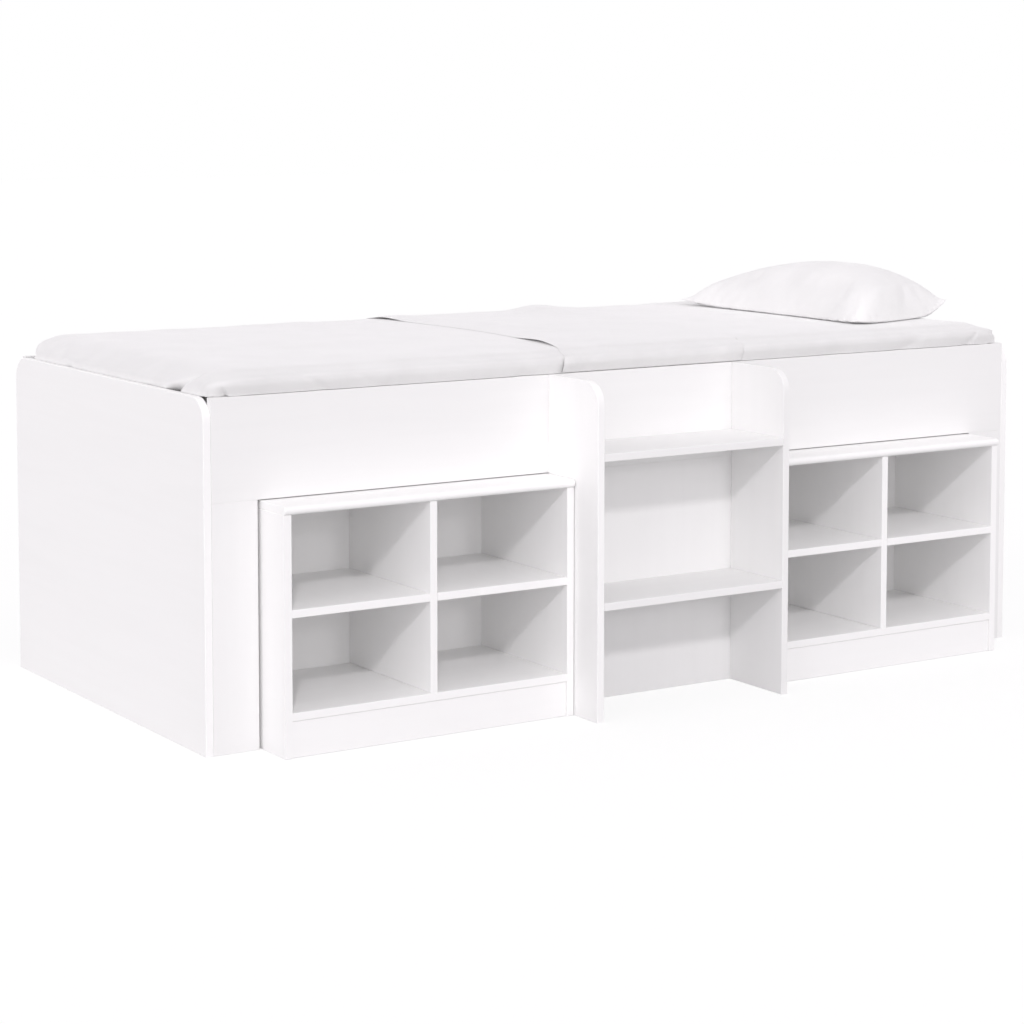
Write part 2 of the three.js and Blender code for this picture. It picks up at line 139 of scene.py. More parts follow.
def weld_cells(points: Array) -> Array:
    """Returns the small cell in which each point lies, shifted so that round numbers lie inside one."""
    return np.floor(points / WELD + WELD_SHIFT).astype(np.int64)


def weld(points: Array, quads: Array) -> tuple[Array, list[list[int]], Array]:
    """Merges points that lie at the same place and drops the faces that collapse.

    Args:
        points: vertex positions.
        quads: faces of four indices.

    Returns:
        The merged positions, the faces left, of three or four corners, and each point's new place.
    """
    _, first, inverse = np.unique(weld_cells(points), axis=0, return_index=True, return_inverse=True)
    inverse = inverse.reshape(-1)
    corners = inverse[quads]
    kept = corners != np.roll(corners, -1, axis=1)
    faces = {}
    for sides in (4, 3):
        rows = np.flatnonzero(kept.sum(1) == sides)
        found = corners[rows][kept[rows]].reshape(-1, sides)
        ordered = np.sort(found, axis=1)
        whole = (ordered[:, 1:] != ordered[:, :-1]).all(1)
        faces.update(zip(rows[whole].tolist(), found[whole].tolist()))
    return points[first], [faces[row] for row in sorted(faces)], inverse


def vertex_normals(points: Array, quads: Array) -> Array:
    """Unit normals of a grid mesh whose seams lie at the same places, so that they share a normal.

    Args:
        points: vertex positions.
        quads: faces of four indices.

    Returns:
        One outward normal for each point.
    """
    across = points[quads[:, 2]] - points[quads[:, 0]]
    along = points[quads[:, 3]] - points[quads[:, 1]]
    area = np.cross(across, along)
    _, inverse = np.unique(weld_cells(points), axis=0, return_inverse=True)
    inverse = inverse.reshape(-1)
    total = np.zeros((inverse.max() + 1, 3))
    for corner in range(4):
        np.add.at(total, inverse[quads[:, corner]], area)
    total /= np.maximum(np.linalg.norm(total, axis=1, keepdims=True), 1e-12)
    return total[inverse]


def mesh_piece(name: str, points: Array, faces: list[list[int]]) -> Piece:
    """Makes a smooth-shaded mesh object at the origin.

    Args:
        name: the piece's name.
        points: vertex positions in the bed's frame.
        faces: corner indices of each face.

    Returns:
        The new object, linked to the scene.
    """
    data = bpy.data.meshes.new(name)
    data.from_pydata(points.tolist(), [], faces)
    data.polygons.foreach_set("use_smooth", np.ones(len(data.polygons), bool))
    data.update()
    piece = bpy.data.objects.new(name, data)
    bpy.context.scene.collection.objects.link(piece)
    return piece


def read(items: bpy.types.bpy_prop_collection, name: str, width: int = 1, kind: type = float) -> Array:
    """Reads one attribute of every vertex, edge, corner or face of a mesh.

    Args:
        items: the mesh's vertices, edges, loops or polygons.
        name: the attribute.
        width: how many numbers each of them has.
        kind: the type of the numbers.

    Returns:
        One row for each of them.
    """
    flat = np.empty(len(items) * width, kind)
    items.foreach_get(name, flat)
    return flat.reshape(-1, width)


def points_of(piece: Piece, evaluated: bool = False) -> Array:
    """Reads a mesh object's vertices.

    Args:
        piece: the object.
        evaluated: whether its modifiers count.

    Returns:
        Their positions, one row each.
    """
    if evaluated:
        piece = piece.evaluated_get(bpy.context.evaluated_depsgraph_get())
    return read(piece.data.vertices, "co", 3)


def move_points(piece: Piece, points: Array) -> None:
    """Moves a mesh object's vertices.

    Args:
        piece: the object.
        points: their new positions.
    """
    piece.data.vertices.foreach_set("co", points.astype(np.float32).ravel())


def corners_of(piece: Piece) -> Array:
    """Returns the vertex of every corner of a mesh object's faces."""
    return read(piece.data.loops, "vertex_index", 1, np.int32)[:, 0]


def add_uv(piece: Piece, flat: Array) -> None:
    """Gives a piece a UV map in metres.

    Args:
        piece: the mesh object.
        flat: two coordinates for every corner of its faces.
    """
    layer = piece.data.uv_layers.new(name="cloth")
    layer.data.foreach_set("uv", flat.astype(np.float32).ravel())


def flat_uv(piece: Piece) -> None:
    """Gives a piece a UV map in metres, each face laid flat on the plane that it most nearly faces.

    Args:
        piece: the mesh object.
    """
    faces = piece.data.polygons
    corners_each = read(faces, "loop_total", 1, np.int32)[:, 0]
    facing = np.repeat(np.abs(read(faces, "normal", 3)).argmax(1), corners_each)
    place = points_of(piece)[corners_of(piece)]
    first = np.where(facing == 0, place[:, 1], place[:, 0])
    second = np.where(facing == 2, place[:, 1], place[:, 2])
    add_uv(piece, np.stack([first, second], -1))


def applied(piece: Piece, name: str, kind: str, **settings: object) -> None:
    """Runs one modifier on a piece and keeps what it makes.

    Args:
        piece: the object.
        name: the modifier's name.
        kind: the modifier's type.
        settings: its settings.
    """
    modifier = piece.modifiers.new(name, kind)
    for key, value in settings.items():
        setattr(modifier, key, value)
    finished = piece.evaluated_get(bpy.context.evaluated_depsgraph_get())
    piece.data = bpy.data.meshes.new_from_object(finished)
    piece.modifiers.remove(modifier)


def relaxed(piece: Piece, points: Array, weight: Array, rounds: int) -> Array:
    """Evens out a surface: again and again each point moves half way towards the middle of its neighbours.

    Args:
        piece: the object whose edges join the points.
        points: where they are.
        weight: how much each one moves, from 0 to 1.
        rounds: how often.

    Returns:
        The new positions.
    """
    ends = read(piece.data.edges, "vertices", 2, np.int32)
    a, b = ends.T
    size = len(points)
    count = np.bincount(ends.ravel(), minlength=size)[:, None]
    share = 0.5 * weight[:, None]
    for _ in range(rounds):
        sums = [np.bincount(a, points[b, axis], size) + np.bincount(b, points[a, axis], size)
                for axis in range(3)]
        points = points + (np.stack(sums, -1) / count - points) * share
    return points


def nearest(points: Array, line: Array) -> tuple[Array, Array]:
    """Finds the closest of a line's points to each point, block by block and in single precision.

    Args:
        points: the points.
        line: positions along the line.

    Returns:
        The closest positions and how far away they are.
    """
    places, squares = [], []
    targets = line.astype(np.float32).T[:, None]
    for block in np.array_split(points.astype(np.float32), len(points) // NEAREST_BLOCK + 1):
        x, y, z = block.T[:, :, None] - targets
        square = x * x + y * y + z * z
        places.append(square.argmin(1))
        squares.append(square.min(1))
    return line[np.concatenate(places)], np.sqrt(np.concatenate(squares)).astype(float)


def box_of(node: str) -> tuple[Array, Array]:
    """Returns a frame node's lowest and highest corner as arrays."""
    low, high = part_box(node)
    return np.array(low), np.array(high)


def rail_top() -> float:
    """Returns the height of the rails' top, on which the sheet rests."""
    return float(box_of("front_rail")[1][2])


# Finishes


class Grain(Enum):
    """The direction in which a board's grain runs, as the turn of its coordinates."""

    LENGTH = (0.0, 0.0, 0.0)
    DEPTH = (0.0, 0.0, math.pi / 2)
    HEIGHT = (0.0, math.pi / 2, 0.0)


@dataclass(frozen=True)
class Graph:
    """The nodes of a material or of the world."""

    tree: bpy.types.NodeTree

    def feed(self, node: Node, inputs: dict[str | int, object]) -> None:
        """Sets a node's inputs.

        Args:
            node: the node.
            inputs: for each input its value, or the socket that feeds it.
        """
        for name, value in inputs.items():
            if isinstance(value, Socket):
                self.tree.links.new(value, node.inputs[name])
            else:
                node.inputs[name].default_value = value

    def add(self, kind: str, inputs: dict[str | int, object]) -> Node:
        """Adds a node.

        Args:
            kind: its type.
            inputs: for each input its value, or the socket that feeds it.

        Returns:
            The node.
        """
        node = self.tree.nodes.new(kind)
        self.feed(node, inputs)
        return node

    def coordinates(self, turn: Triple = (0.0, 0.0, 0.0), scale: Triple = (1.0, 1.0, 1.0),
                    output: str = "Object") -> Socket:
        """Object or UV coordinates, turned and then scaled.

        Args:
            turn: rotation in radians.
            scale: factor along each axis.
            output: which coordinates are read.

        Returns:
            The vector.
        """
        source = self.add("ShaderNodeTexCoord", {}).outputs[output]
        turned = self.add("ShaderNodeMapping", {"Rotation": turn, "Vector": source})
        scaled = self.add("ShaderNodeMapping", {"Scale": scale, "Vector": turned.outputs["Vector"]})
        return scaled.outputs["Vector"]

    def noise(self, vector: Socket, scale: float, detail: float = 4.0, rough: float = 0.55,
              distortion: float = 0.0) -> Socket:
        """A noise texture.

        Args:
            vector: where it is read.
            scale: how fine it is.
            detail: how many finer layers it has.
            rough: how strong the finer layers are.
            distortion: how far it is warped.

        Returns:
            Its value, from 0 to 1.
        """
        texture = self.add("ShaderNodeTexNoise", {
            "Vector": vector,
            "Scale": scale,
            "Detail": detail,
            "Roughness": rough,
            "Distortion": distortion,
        })
        return texture.outputs["Fac"]

    def ramp(self, value: Socket, stops: list[tuple[float, Triple]]) -> Socket:
        """A ramp between two colours.

        Args:
            value: what drives it.
            stops: place and colour of each of its two stops.

        Returns:
            The colour.
        """
        node = self.add("ShaderNodeValToRGB", {"Fac": value})
        for element, (place, colour) in zip(node.color_ramp.elements, stops):
            element.position = place
            element.color = (*colour, 1.0)
        return node.outputs["Color"]

    def span(self, value: Socket, low: float, high: float) -> Socket:
        """Returns a value from 0..1 mapped to low..high."""
        node = self.add("ShaderNodeMapRange", {"Value": value, "To Min": low, "To Max": high})
        return node.outputs["Result"]

    def blend(self, kind: str, a: Socket, b: Socket) -> Socket:
        """Joins two values.

        Args:
            kind: a Math node's operation.
            a: the first value.
            b: the second value.

        Returns:
            The result.
        """
        node = self.add("ShaderNodeMath", {0: a, 1: b})
        node.operation = kind
        return node.outputs["Value"]

    def bump(self, height: Socket, strength: float, distance: float, under: Socket | None = None) -> Socket:
        """Bends the normal by a height field.

        Args:
            height: the height field.
            strength: how much of it counts.
            distance: its height in metres.
            under: a coarser bump that this one lies on.

        Returns:
            The normal.
        """
        inputs = {"Height": height, "Strength": strength, "Distance": distance}
        if under is not None:
            inputs["Normal"] = under
        return self.add("ShaderNodeBump", inputs).outputs["Normal"]


@dataclass(frozen=True)
class Finish:
    """What every finish has: a name, a base colour, a roughness, a gloss and a darker shade."""

    name: str
    colour: Triple
    roughness: float
    gloss: float = 0.5
    shade: float = 1.0

    def start(self, suffix: str = "") -> tuple[Material, Graph, Node]:
        """Makes an empty material with its shader.

        Args:
            suffix: added to the name where a finish has several versions.

        Returns:
            The material, its nodes and its Principled shader.
        """
        material = bpy.data.materials.new(self.name + suffix)
        material.use_nodes = True
        graph = Graph(material.node_tree)
        shader = graph.tree.nodes["Principled BSDF"]
        graph.feed(shader, {
            "Base Color": (*self.colour, 1.0),
            "Roughness": self.roughness,
            "Specular IOR Level": self.gloss,
        })
        return material, graph, shader

    def tones(self, dark: float, full: float) -> list[tuple[float, Triple]]:
        """Returns a ramp's stops: the base colour times the shade at dark, the base colour at full."""
        return [(dark, tuple(channel * self.shade for channel in self.colour)), (full, self.colour)]


@dataclass(frozen=True)
class PaintedPine(Finish):
    """White satin paint over planed pine: the grain just shows through in tone, gloss and relief."""

    name: str = "white_paint"
    colour: Triple = (0.905, 0.905, 0.899)
    roughness: float = 0.46
    gloss: float = 0.15
    shade: float = 0.985
    grain_pitch: float = 26.0
    grain_stretch: float = 0.07
    fibre_pitch: float = 364.0
    brush_pitch: float = 900.0
    cloud_pitch: float = 3.2

    def make(self, grain: Grain) -> Material:
        """Makes the paint with its grain along one axis.

        Args:
            grain: the direction of the grain.

        Returns:
            The material.
        """
        material, graph, shader = self.start("_" + grain.name.lower())
        along = graph.coordinates(grain.value, (self.grain_stretch, 1.0, 1.0))
        figure = graph.noise(along, self.grain_pitch, 5.0, 0.6, 0.6)
        fibre = graph.noise(along, self.fibre_pitch, 2.0, 0.5)
        brush = graph.noise(along, self.brush_pitch, 1.0)
        cloud = graph.noise(graph.coordinates(), self.cloud_pitch, 2.0)
        tone = graph.blend("MULTIPLY", figure, graph.span(cloud, 0.7, 1.1))
        coarse = graph.bump(figure, 0.22, 0.4 * MM)
        fine = graph.bump(fibre, 0.25, 0.15 * MM, coarse)
        graph.feed(shader, {
            "Base Color": graph.ramp(tone, self.tones(0.25, 0.55)),
            "Roughness": graph.span(figure, self.roughness + 0.07, self.roughness - 0.05),
            "Normal": graph.bump(brush, 0.12, 0.05 * MM, fine),
        })
        return material


@dataclass(frozen=True)
class PaintedHardboard(Finish):
    """White painted hardboard: flat, with the dimpled face that rolled paint leaves."""

    name: str = "painted_hardboard"
    # painted light: as bright as the lit copy of the white paint, to lift the shade inside the bookcases
    colour: Triple = (0.985, 0.985, 0.978)
    roughness: float = 0.5
    gloss: float = 0.12
    shade: float = 0.97
    dimple_pitch: float = 420.0
    cloud_pitch: float = 7.0

    def make(self) -> Material:
        """Makes the finish.

        Returns:
            The material.
        """
        material, graph, shader = self.start()
        here = graph.coordinates()
        dimple = graph.noise(here, self.dimple_pitch, 2.0)
        cloud = graph.noise(here, self.cloud_pitch, 3.0)
        graph.feed(shader, {
            "Base Color": graph.ramp(cloud, self.tones(0.3, 0.65)),
            "Roughness": graph.span(cloud, self.roughness - 0.04, self.roughness + 0.06),
            "Normal": graph.bump(dimple, 0.3, 0.1 * MM),
        })
        return material


@dataclass(frozen=True)
class BarePine(Finish):
    """Planed pine: pale early wood, darker late wood in long lines and a few knots."""

    name: str = "bare_pine"
    colour: Triple = (0.680, 0.500, 0.300)
    roughness: float = 0.62
    late: Triple = (0.520, 0.330, 0.165)
    knot: Triple = (0.230, 0.120, 0.055)
    ring_pitch: float = 26.0
    ring_stretch: float = 0.05
    ring_wander: float = 5.0
    knot_pitch: float = 5.5
    knot_stretch: float = 0.55
    knot_edge: Pair = (0.10, 0.05)
    fibre_pitch: float = 380.0

    def make(self, grain: Grain) -> Material:
        """Makes bare pine with its grain along one axis.

        Args:
            grain: the direction of the grain.

        Returns:
            The material.
        """
        material, graph, shader = self.start("_" + grain.name.lower())
        along = graph.coordinates(grain.value, (self.ring_stretch, 1.0, 1.0))
        rings = graph.add("ShaderNodeTexWave", {
            "Vector": along,
            "Scale": self.ring_pitch,
            "Distortion": self.ring_wander,
            "Detail": 2.0,
            "Detail Scale": 1.4,
        })
        rings.bands_direction = "Y"
        ring = rings.outputs["Fac"]
        stretched = graph.coordinates(grain.value, (self.knot_stretch, 1.0, 1.0))
        cells = graph.add("ShaderNodeTexVoronoi", {"Vector": stretched, "Scale": self.knot_pitch})
        spots = graph.add("ShaderNodeMapRange", {
            "Value": cells.outputs["Distance"],
            "From Min": self.knot_edge[0],
            "From Max": self.knot_edge[1],
        })
        mixed = graph.add("ShaderNodeMix", {})
        mixed.data_type = "RGBA"
        graph.feed(mixed, {
            "Factor": spots.outputs["Result"],
            "A": graph.ramp(ring, [(0.35, self.colour), (0.95, self.late)]),
            "B": (*self.knot, 1.0),
        })
        fibre = graph.noise(along, self.fibre_pitch, 3.0)
        graph.feed(shader, {
            "Base Color": mixed.outputs["Result"],
            "Roughness": graph.span(fibre, self.roughness - 0.08, self.roughness + 0.1),
            "Normal": graph.bump(fibre, 0.35, 0.2 * MM, graph.bump(ring, 0.3, 0.3 * MM)),
        })
        return material


@dataclass(frozen=True)
class ZincSteel(Finish):
    """Zinc-plated steel: a cool satin metal with the spangle of the plating."""

    name: str = "zinc_steel"
    colour: Triple = (0.560, 0.575, 0.600)
    roughness: float = 0.34
    shade: float = 0.82
    spangle_pitch: float = 260.0
    stain_pitch: float = 90.0

    def make(self) -> Material:
        """Makes the finish.

        Returns:
            The material.
        """
        material, graph, shader = self.start()
        here = graph.coordinates()
        cells = graph.add("ShaderNodeTexVoronoi", {"Vector": here, "Scale": self.spangle_pitch})
        stain = graph.noise(here, self.stain_pitch)
        graph.feed(shader, {
            "Base Color": graph.ramp(cells.outputs["Color"], self.tones(0.2, 0.8)),
            "Metallic": 1.0,
            "Roughness": graph.span(stain, self.roughness - 0.08, self.roughness + 0.12),
        })
        return material


@dataclass(frozen=True)
class Cotton(Finish):
    """Woven cotton: crossing threads read along the piece's own UV map, slubs and a soft sheen.

    A wave texture of scale 1 has bands of BAND_WIDTH, so BAND_WIDTH / thread gives bands of one thread.
    """

    name: str = "cotton"
    colour: Triple = (0.832, 0.832, 0.826)
    roughness: float = 0.9
    gloss: float = 0.15
    shade: float = 0.955
    sheen: float = 1.0
    thread: float = 1.1 * MM
    relief: float = 0.18 * MM
    slub_pitch: float = 130.0
    cloud_pitch: float = 9.0

    def make(self) -> Material:
        """Makes the finish.

        Returns:
            The material.
        """
        material, graph, shader = self.start()
        threads = []
        for direction in ("X", "Y"):
            wave = graph.add("ShaderNodeTexWave", {
                "Vector": graph.coordinates(output="UV"),
                "Scale": BAND_WIDTH / self.thread,
                "Distortion": 0.6,
                "Detail": 1.0,
            })
            wave.bands_direction = direction
            threads.append(wave.outputs["Fac"])
        here = graph.coordinates()
        slub = graph.noise(here, self.slub_pitch, 3.0)
        cloud = graph.noise(here, self.cloud_pitch, 3.0)
        tone = graph.blend("MULTIPLY", cloud, graph.span(slub, 0.85, 1.15))
        lumps = graph.bump(slub, 0.25, 0.4 * MM)
        graph.feed(shader, {
            "Base Color": graph.ramp(tone, self.tones(0.3, 0.6)),
            "Roughness": graph.span(slub, self.roughness - 0.06, self.roughness + 0.06),
            "Sheen Weight": self.sheen,
            "Sheen Roughness": 0.5,
            "Normal": graph.bump(graph.blend("MULTIPLY", *threads), 0.5, self.relief, lumps),
        })
        return material


class Paintbox:
    """Makes each finish once and hands it out."""

    def __init__(self) -> None:
        """Makes every finish of the bed, with the white paint in two copies whose brightness differs only as
        painted light.
        """
        paint = PaintedPine()
        # painted light: a brighter copy of the same white paint, for boards where light falls or that should
        # look lit inside
        lit_copy = PaintedPine(name="painted_light_paint", colour=(0.985, 0.985, 0.978))
        self.frame_paint = {grain: paint.make(grain) for grain in Grain}
        self.painted_light_paint = {grain: lit_copy.make(grain) for grain in Grain}
        self.pine = {grain: BarePine().make(grain) for grain in (Grain.LENGTH, Grain.DEPTH)}
        self.hardboard = PaintedHardboard().make()
        self.zinc = ZincSteel().make()
        self.sheet = Cotton(name="sheet_cotton").make()
        self.throw = Cotton(name="throw_cotton", colour=(0.826, 0.826, 0.820), thread=1.6 * MM,
                            relief=0.3 * MM).make()
        self.pillow = Cotton(name="pillow_cotton", colour=(0.898, 0.898, 0.892), thread=0.9 * MM,
                             sheen=0.8).make()

    @staticmethod
    def grain_of(node: str) -> Grain:
        """Returns the direction of a board's longest side."""
        low, high = box_of(node)
        return (Grain.LENGTH, Grain.DEPTH, Grain.HEIGHT)[int(np.argmax(high - low))]


def cover(node: str, material: Material) -> None:
    """Puts a material in every slot of a frame node.

    Args:
        node: the frame node's name.
        material: what it is finished with.
    """
    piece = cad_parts[node]
    for place in piece.material_slots:
        place.material = material
    if not piece.material_slots:
        piece.data.materials.append(material)


# Boards, slats and brackets


@dataclass
class Woodwork:
    """Everything that the frame gives as it is: boards, slats and brackets."""

    soft: tuple[str, ...] = ("mattress", "throw", "pillow")

    def dress(self, box: Paintbox) -> None:
        """Finishes each frame node by what it is, with painted light: the bookcases, end panels and left
        step side get the brighter copy of the white paint.

        Args:
            box: the finishes.
        """
        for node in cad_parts:
            if node in self.soft:
                continue
            if node.startswith("slat_"):
                cover(node, box.pine[Paintbox.grain_of(node)])
            elif node.startswith("corner_bracket"):
                cover(node, box.zinc)
            elif node.startswith("bookcase") and node.endswith("_back"):
                cover(node, box.hardboard)
            # painted light: these boards get the brighter copy of the white paint, as if more light fell on
            # them
            elif node.startswith(("bookcase", "end_panel", "step_side_left")):
                cover(node, box.painted_light_paint[Paintbox.grain_of(node)])
            else:
                cover(node, box.frame_paint[Paintbox.grain_of(node)])
        log.info("dressed %d boards, slats and brackets", len(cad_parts) - len(self.soft))


# Cloth


@dataclass(frozen=True)
class Crease:
    """A hollow along a straight line on a face, in that face's own two coordinates, in metres."""

    start: Pair
    end: Pair
    widths: Pair
    depths: Pair
    steep: float = 1.0

    def depth(self, a: Array, b: Array) -> Array:
        """How far the crease sinks at each place: a bell across the line, narrower on its steep side.

        Args:
            a: first coordinate of each point.
            b: second coordinate of each point.

        Returns:
            The depth in metres.
        """
        line = np.array(self.end) - np.array(self.start)
        length = np.hypot(*line)
        along = ((a - self.start[0]) * line[0] + (b - self.start[1]) * line[1]) / length**2
        share = np.clip(along, 0.0, 1.0)
        side = ((a - self.start[0]) * line[1] - (b - self.start[1]) * line[0]) / length
        beyond = (along - share) * length
        width = lerp(*self.widths, share)
        width = np.where(side > 0, width * self.steep, width)
        away = np.hypot(side / width, beyond / width)
        return lerp(*self.depths, share) * bell(away, 1.0)


@dataclass
class Mattress:
    """The mattress in its fitted sheet: soft shoulders, pleats at its corners and a slightly rumpled top.

    Pairs of lengths are for the ends and the long sides, or for a line's start and end. The folds of the
    near end and the front are in that side's own coordinates; the unseen sides repeat them, shallower.
    """

    node: str = "mattress"
    body: str = "bed"
    slot: str = "mattress_cover"
    shoulder_in: float = 85 * MM
    shoulder_down: float = 52 * MM
    end_power: float = 2.15
    side_power: float = 5.0
    crowding: float = 2.0
    corner_power: float = 2.6
    foot: float = 22 * MM
    along: int = 260
    across: int = 110
    corner_steps: int = 56
    shoulder_steps: int = 32
    side_steps: int = 16
    foot_steps: int = 8
    throw_from: Pair = (-0.210, -0.175)
    throw_to: Pair = (0.254, 0.415)
    throw_inset: float = 3 * MM
    throw_rim: Pair = (8 * MM, 22 * MM)
    rumple_height: float = 1.3 * MM
    rumple_lengths: Pair = (240 * MM, 90 * MM)
    side_height: float = 0.9 * MM
    side_length: float = 70 * MM
    foot_fade: float = 50 * MM
    growth: Pair = (3 * MM, 2 * MM)
    rest_out: Pair = (9 * MM, 16 * MM)
    swell_out: Pair = (2 * MM, 8 * MM)
    rear_corner_in: float = 13 * MM
    front_corner_out: float = 14 * MM
    rear_share: float = 0.6
    fold_reach: float = 8 * MM
    fold_share: float = 0.97
    fold_angle: float = 48.0
    dent: float = 0.4 * MM
    dent_rim: Pair = (-20 * MM, 30 * MM)
    unseen_share: float = 0.8
    end_folds: tuple[Crease, ...] = (
        Crease((-0.188, 0.678), (-0.274, 0.723), (21 * MM, 5 * MM), (27 * MM, 9 * MM), 0.45),
        Crease((-0.060, 0.684), (-0.170, 0.692), (9 * MM, 7 * MM), (4 * MM, 3 * MM)),
        Crease((0.295, 0.684), (0.385, 0.724), (16 * MM, 10 * MM), (5 * MM, 3 * MM)),
    )
    front_folds: tuple[Crease, ...] = (
        Crease((-0.961, 0.680), (-0.965, 0.705), (12 * MM, 5 * MM), (20 * MM, 3 * MM), 0.18),
        Crease((-0.776, 0.678), (-0.778, 0.693), (24 * MM, 16 * MM), (9 * MM, 3.5 * MM)),
        Crease((-0.755, 0.690), (-0.812, 0.728), (9 * MM, 8 * MM), (3.5 * MM, 2 * MM), 0.6),
        Crease((-0.623, 0.678), (-0.620, 0.693), (18 * MM, 12 * MM), (7 * MM, 2.5 * MM)),
        Crease((-0.640, 0.690), (-0.700, 0.724), (10 * MM, 9 * MM), (2.2 * MM, 1.2 * MM), 0.6),
        Crease((-0.300, 0.680), (-0.262, 0.692), (26 * MM, 12 * MM), (7 * MM, 2 * MM)),
        Crease((0.500, 0.682), (0.560, 0.702), (26 * MM, 16 * MM), (6 * MM, 2 * MM)),
        Crease((0.700, 0.684), (0.760, 0.716), (18 * MM, 10 * MM), (5 * MM, 2 * MM)),
        Crease((0.900, 0.682), (0.925, 0.716), (13 * MM, 5 * MM), (9 * MM, 3 * MM), 0.5),
    )

    def ring(self, level: Array, inset: Array, half: Array) -> tuple[Array, Array]:
        """Plan curves: a rectangle whose corners are superellipses.

        A corner reaches level times the shoulder's depth beyond the flat top's corner, by
        a = cos(angle)^(2/q) and b = sin(angle)^(2/q).

        Args:
            level: how far each ring has grown from the flat top, from 0 to 1.
            inset: how far each ring is drawn in from its side.
            half: half the mattress's length and width.

        Returns:
            Rings by points by two coordinates, and for each point 1 on the long sides and 0 at the ends.
        """
        angle = np.linspace(0.0, math.pi / 2, self.corner_steps + 1)
        a = np.clip(np.cos(angle), 0, 1) ** (2 / self.corner_power)
        b = np.clip(np.sin(angle), 0, 1) ** (2 / self.corner_power)
        turned = smoothstep(0.0, 1.0, angle / angle[-1])
        core = (half - self.shoulder_in)[None, :] - inset[:, None]
        reach = (self.shoulder_in * level)[:, None]
        corners = [(1, 1, a, b), (-1, 1, -b, a), (-1, -1, -a, -b), (1, -1, b, -a)]
        counts = [self.along, self.across, self.along, self.across]
        plans = [np.stack([sx * core[:, :1] + reach * da, sy * core[:, 1:] + reach * db], -1)
                 for sx, sy, da, db in corners]
        rings, longways = [], []
        for index, plan in enumerate(plans):
            following = plans[(index + 1) % 4][:, :1]
            share = (np.arange(1, counts[index]) / counts[index])[None, :, None]
            rings += [plan, plan[:, -1:] + (following - plan[:, -1:]) * share]
            long_side = index % 2 == 0
            longways += [turned if long_side else 1 - turned, np.full(counts[index] - 1, float(long_side))]
        return np.concatenate(rings, 1), np.concatenate(longways)

    def sink(self, level: Array, power: Array | float) -> Array:
        """How far the shoulder lies below the top: a superellipse, depth times 1 - (1 - level^p)^(1/p).

        Args:
            level: 0 at the flat top and 1 at the side.
            power: the exponent p.

        Returns:
            The drop in metres.
        """
        return self.shoulder_down * (1 - np.clip(1 - level**power, 0, 1) ** (1 / power))

    def shoulder(self) -> Array:
        """Returns how far each ring of the shoulder has grown, from 1 at the side to 0 at the flat top."""
        slope = math.pi / 2 * np.linspace(0.0, 1.0, self.shoulder_steps + 1) ** self.crowding
        return np.clip(np.cos(slope), 0, 1) ** (2 / self.end_power)

    def wall(self, half: Array, height: float) -> Array:
        """The side, from the rim of the flat bottom to the rim of the flat top.

        Args:
            half: half the mattress's length and width.
            height: its thickness.

        Returns:
            Rings by points by three coordinates, around the middle of the bottom.
        """
        turn = np.linspace(0.0, math.pi / 2, self.foot_steps + 1)
        upright = np.linspace(self.foot, height - self.shoulder_down, self.side_steps + 1)[1:-1]
        shoulder = self.shoulder()
        level = np.concatenate([np.ones(len(turn) + len(upright)), shoulder])
        inset = np.concatenate([self.foot * (1 - np.sin(turn)), np.zeros(len(upright) + len(shoulder))])
        below = np.concatenate([self.foot * (1 - np.cos(turn)), upright])
        plan, longways = self.ring(level, inset, half)
        power = lerp(self.end_power, self.side_power, longways)[None, :]
        above = height - self.sink(shoulder[:, None], power)
        heights = np.concatenate([np.broadcast_to(below[:, None], (len(below), plan.shape[1])), above])
        return np.concatenate([plan, heights[..., None]], -1)

    def creases(self, points: Array, normals: Array) -> Array:
        """How far the sheet sinks in at its folds: deep pleats at the near corner, faint ones elsewhere.

        Args:
            points: vertex positions in the bed's frame.
            normals: their outward normals.

        Returns:
            The depth in metres.
        """
        x, y, z = points.T
        left, right = (smoothstep(0.25, 0.75, side * normals[:, 0]) for side in (-1, 1))
        front, back = (smoothstep(0.25, 0.75, side * normals[:, 1]) for side in (-1, 1))
        depth = left * sum(crease.depth(y, z) for crease in self.end_folds)
        depth += front * sum(crease.depth(x, z) for crease in self.front_folds)
        unseen = right * sum(crease.depth(y * 0.9 + 0.05, z) for crease in self.end_folds)
        unseen += back * sum(crease.depth(0.1 - x, z) for crease in self.front_folds)
        return depth + unseen * self.unseen_share

    def clear_of_foot(self, z: Array, bottom: float) -> Array:
        """Returns 0 at the mattress's bottom and 1 above its foot."""
        return smoothstep(bottom, bottom + self.foot_fade, z)

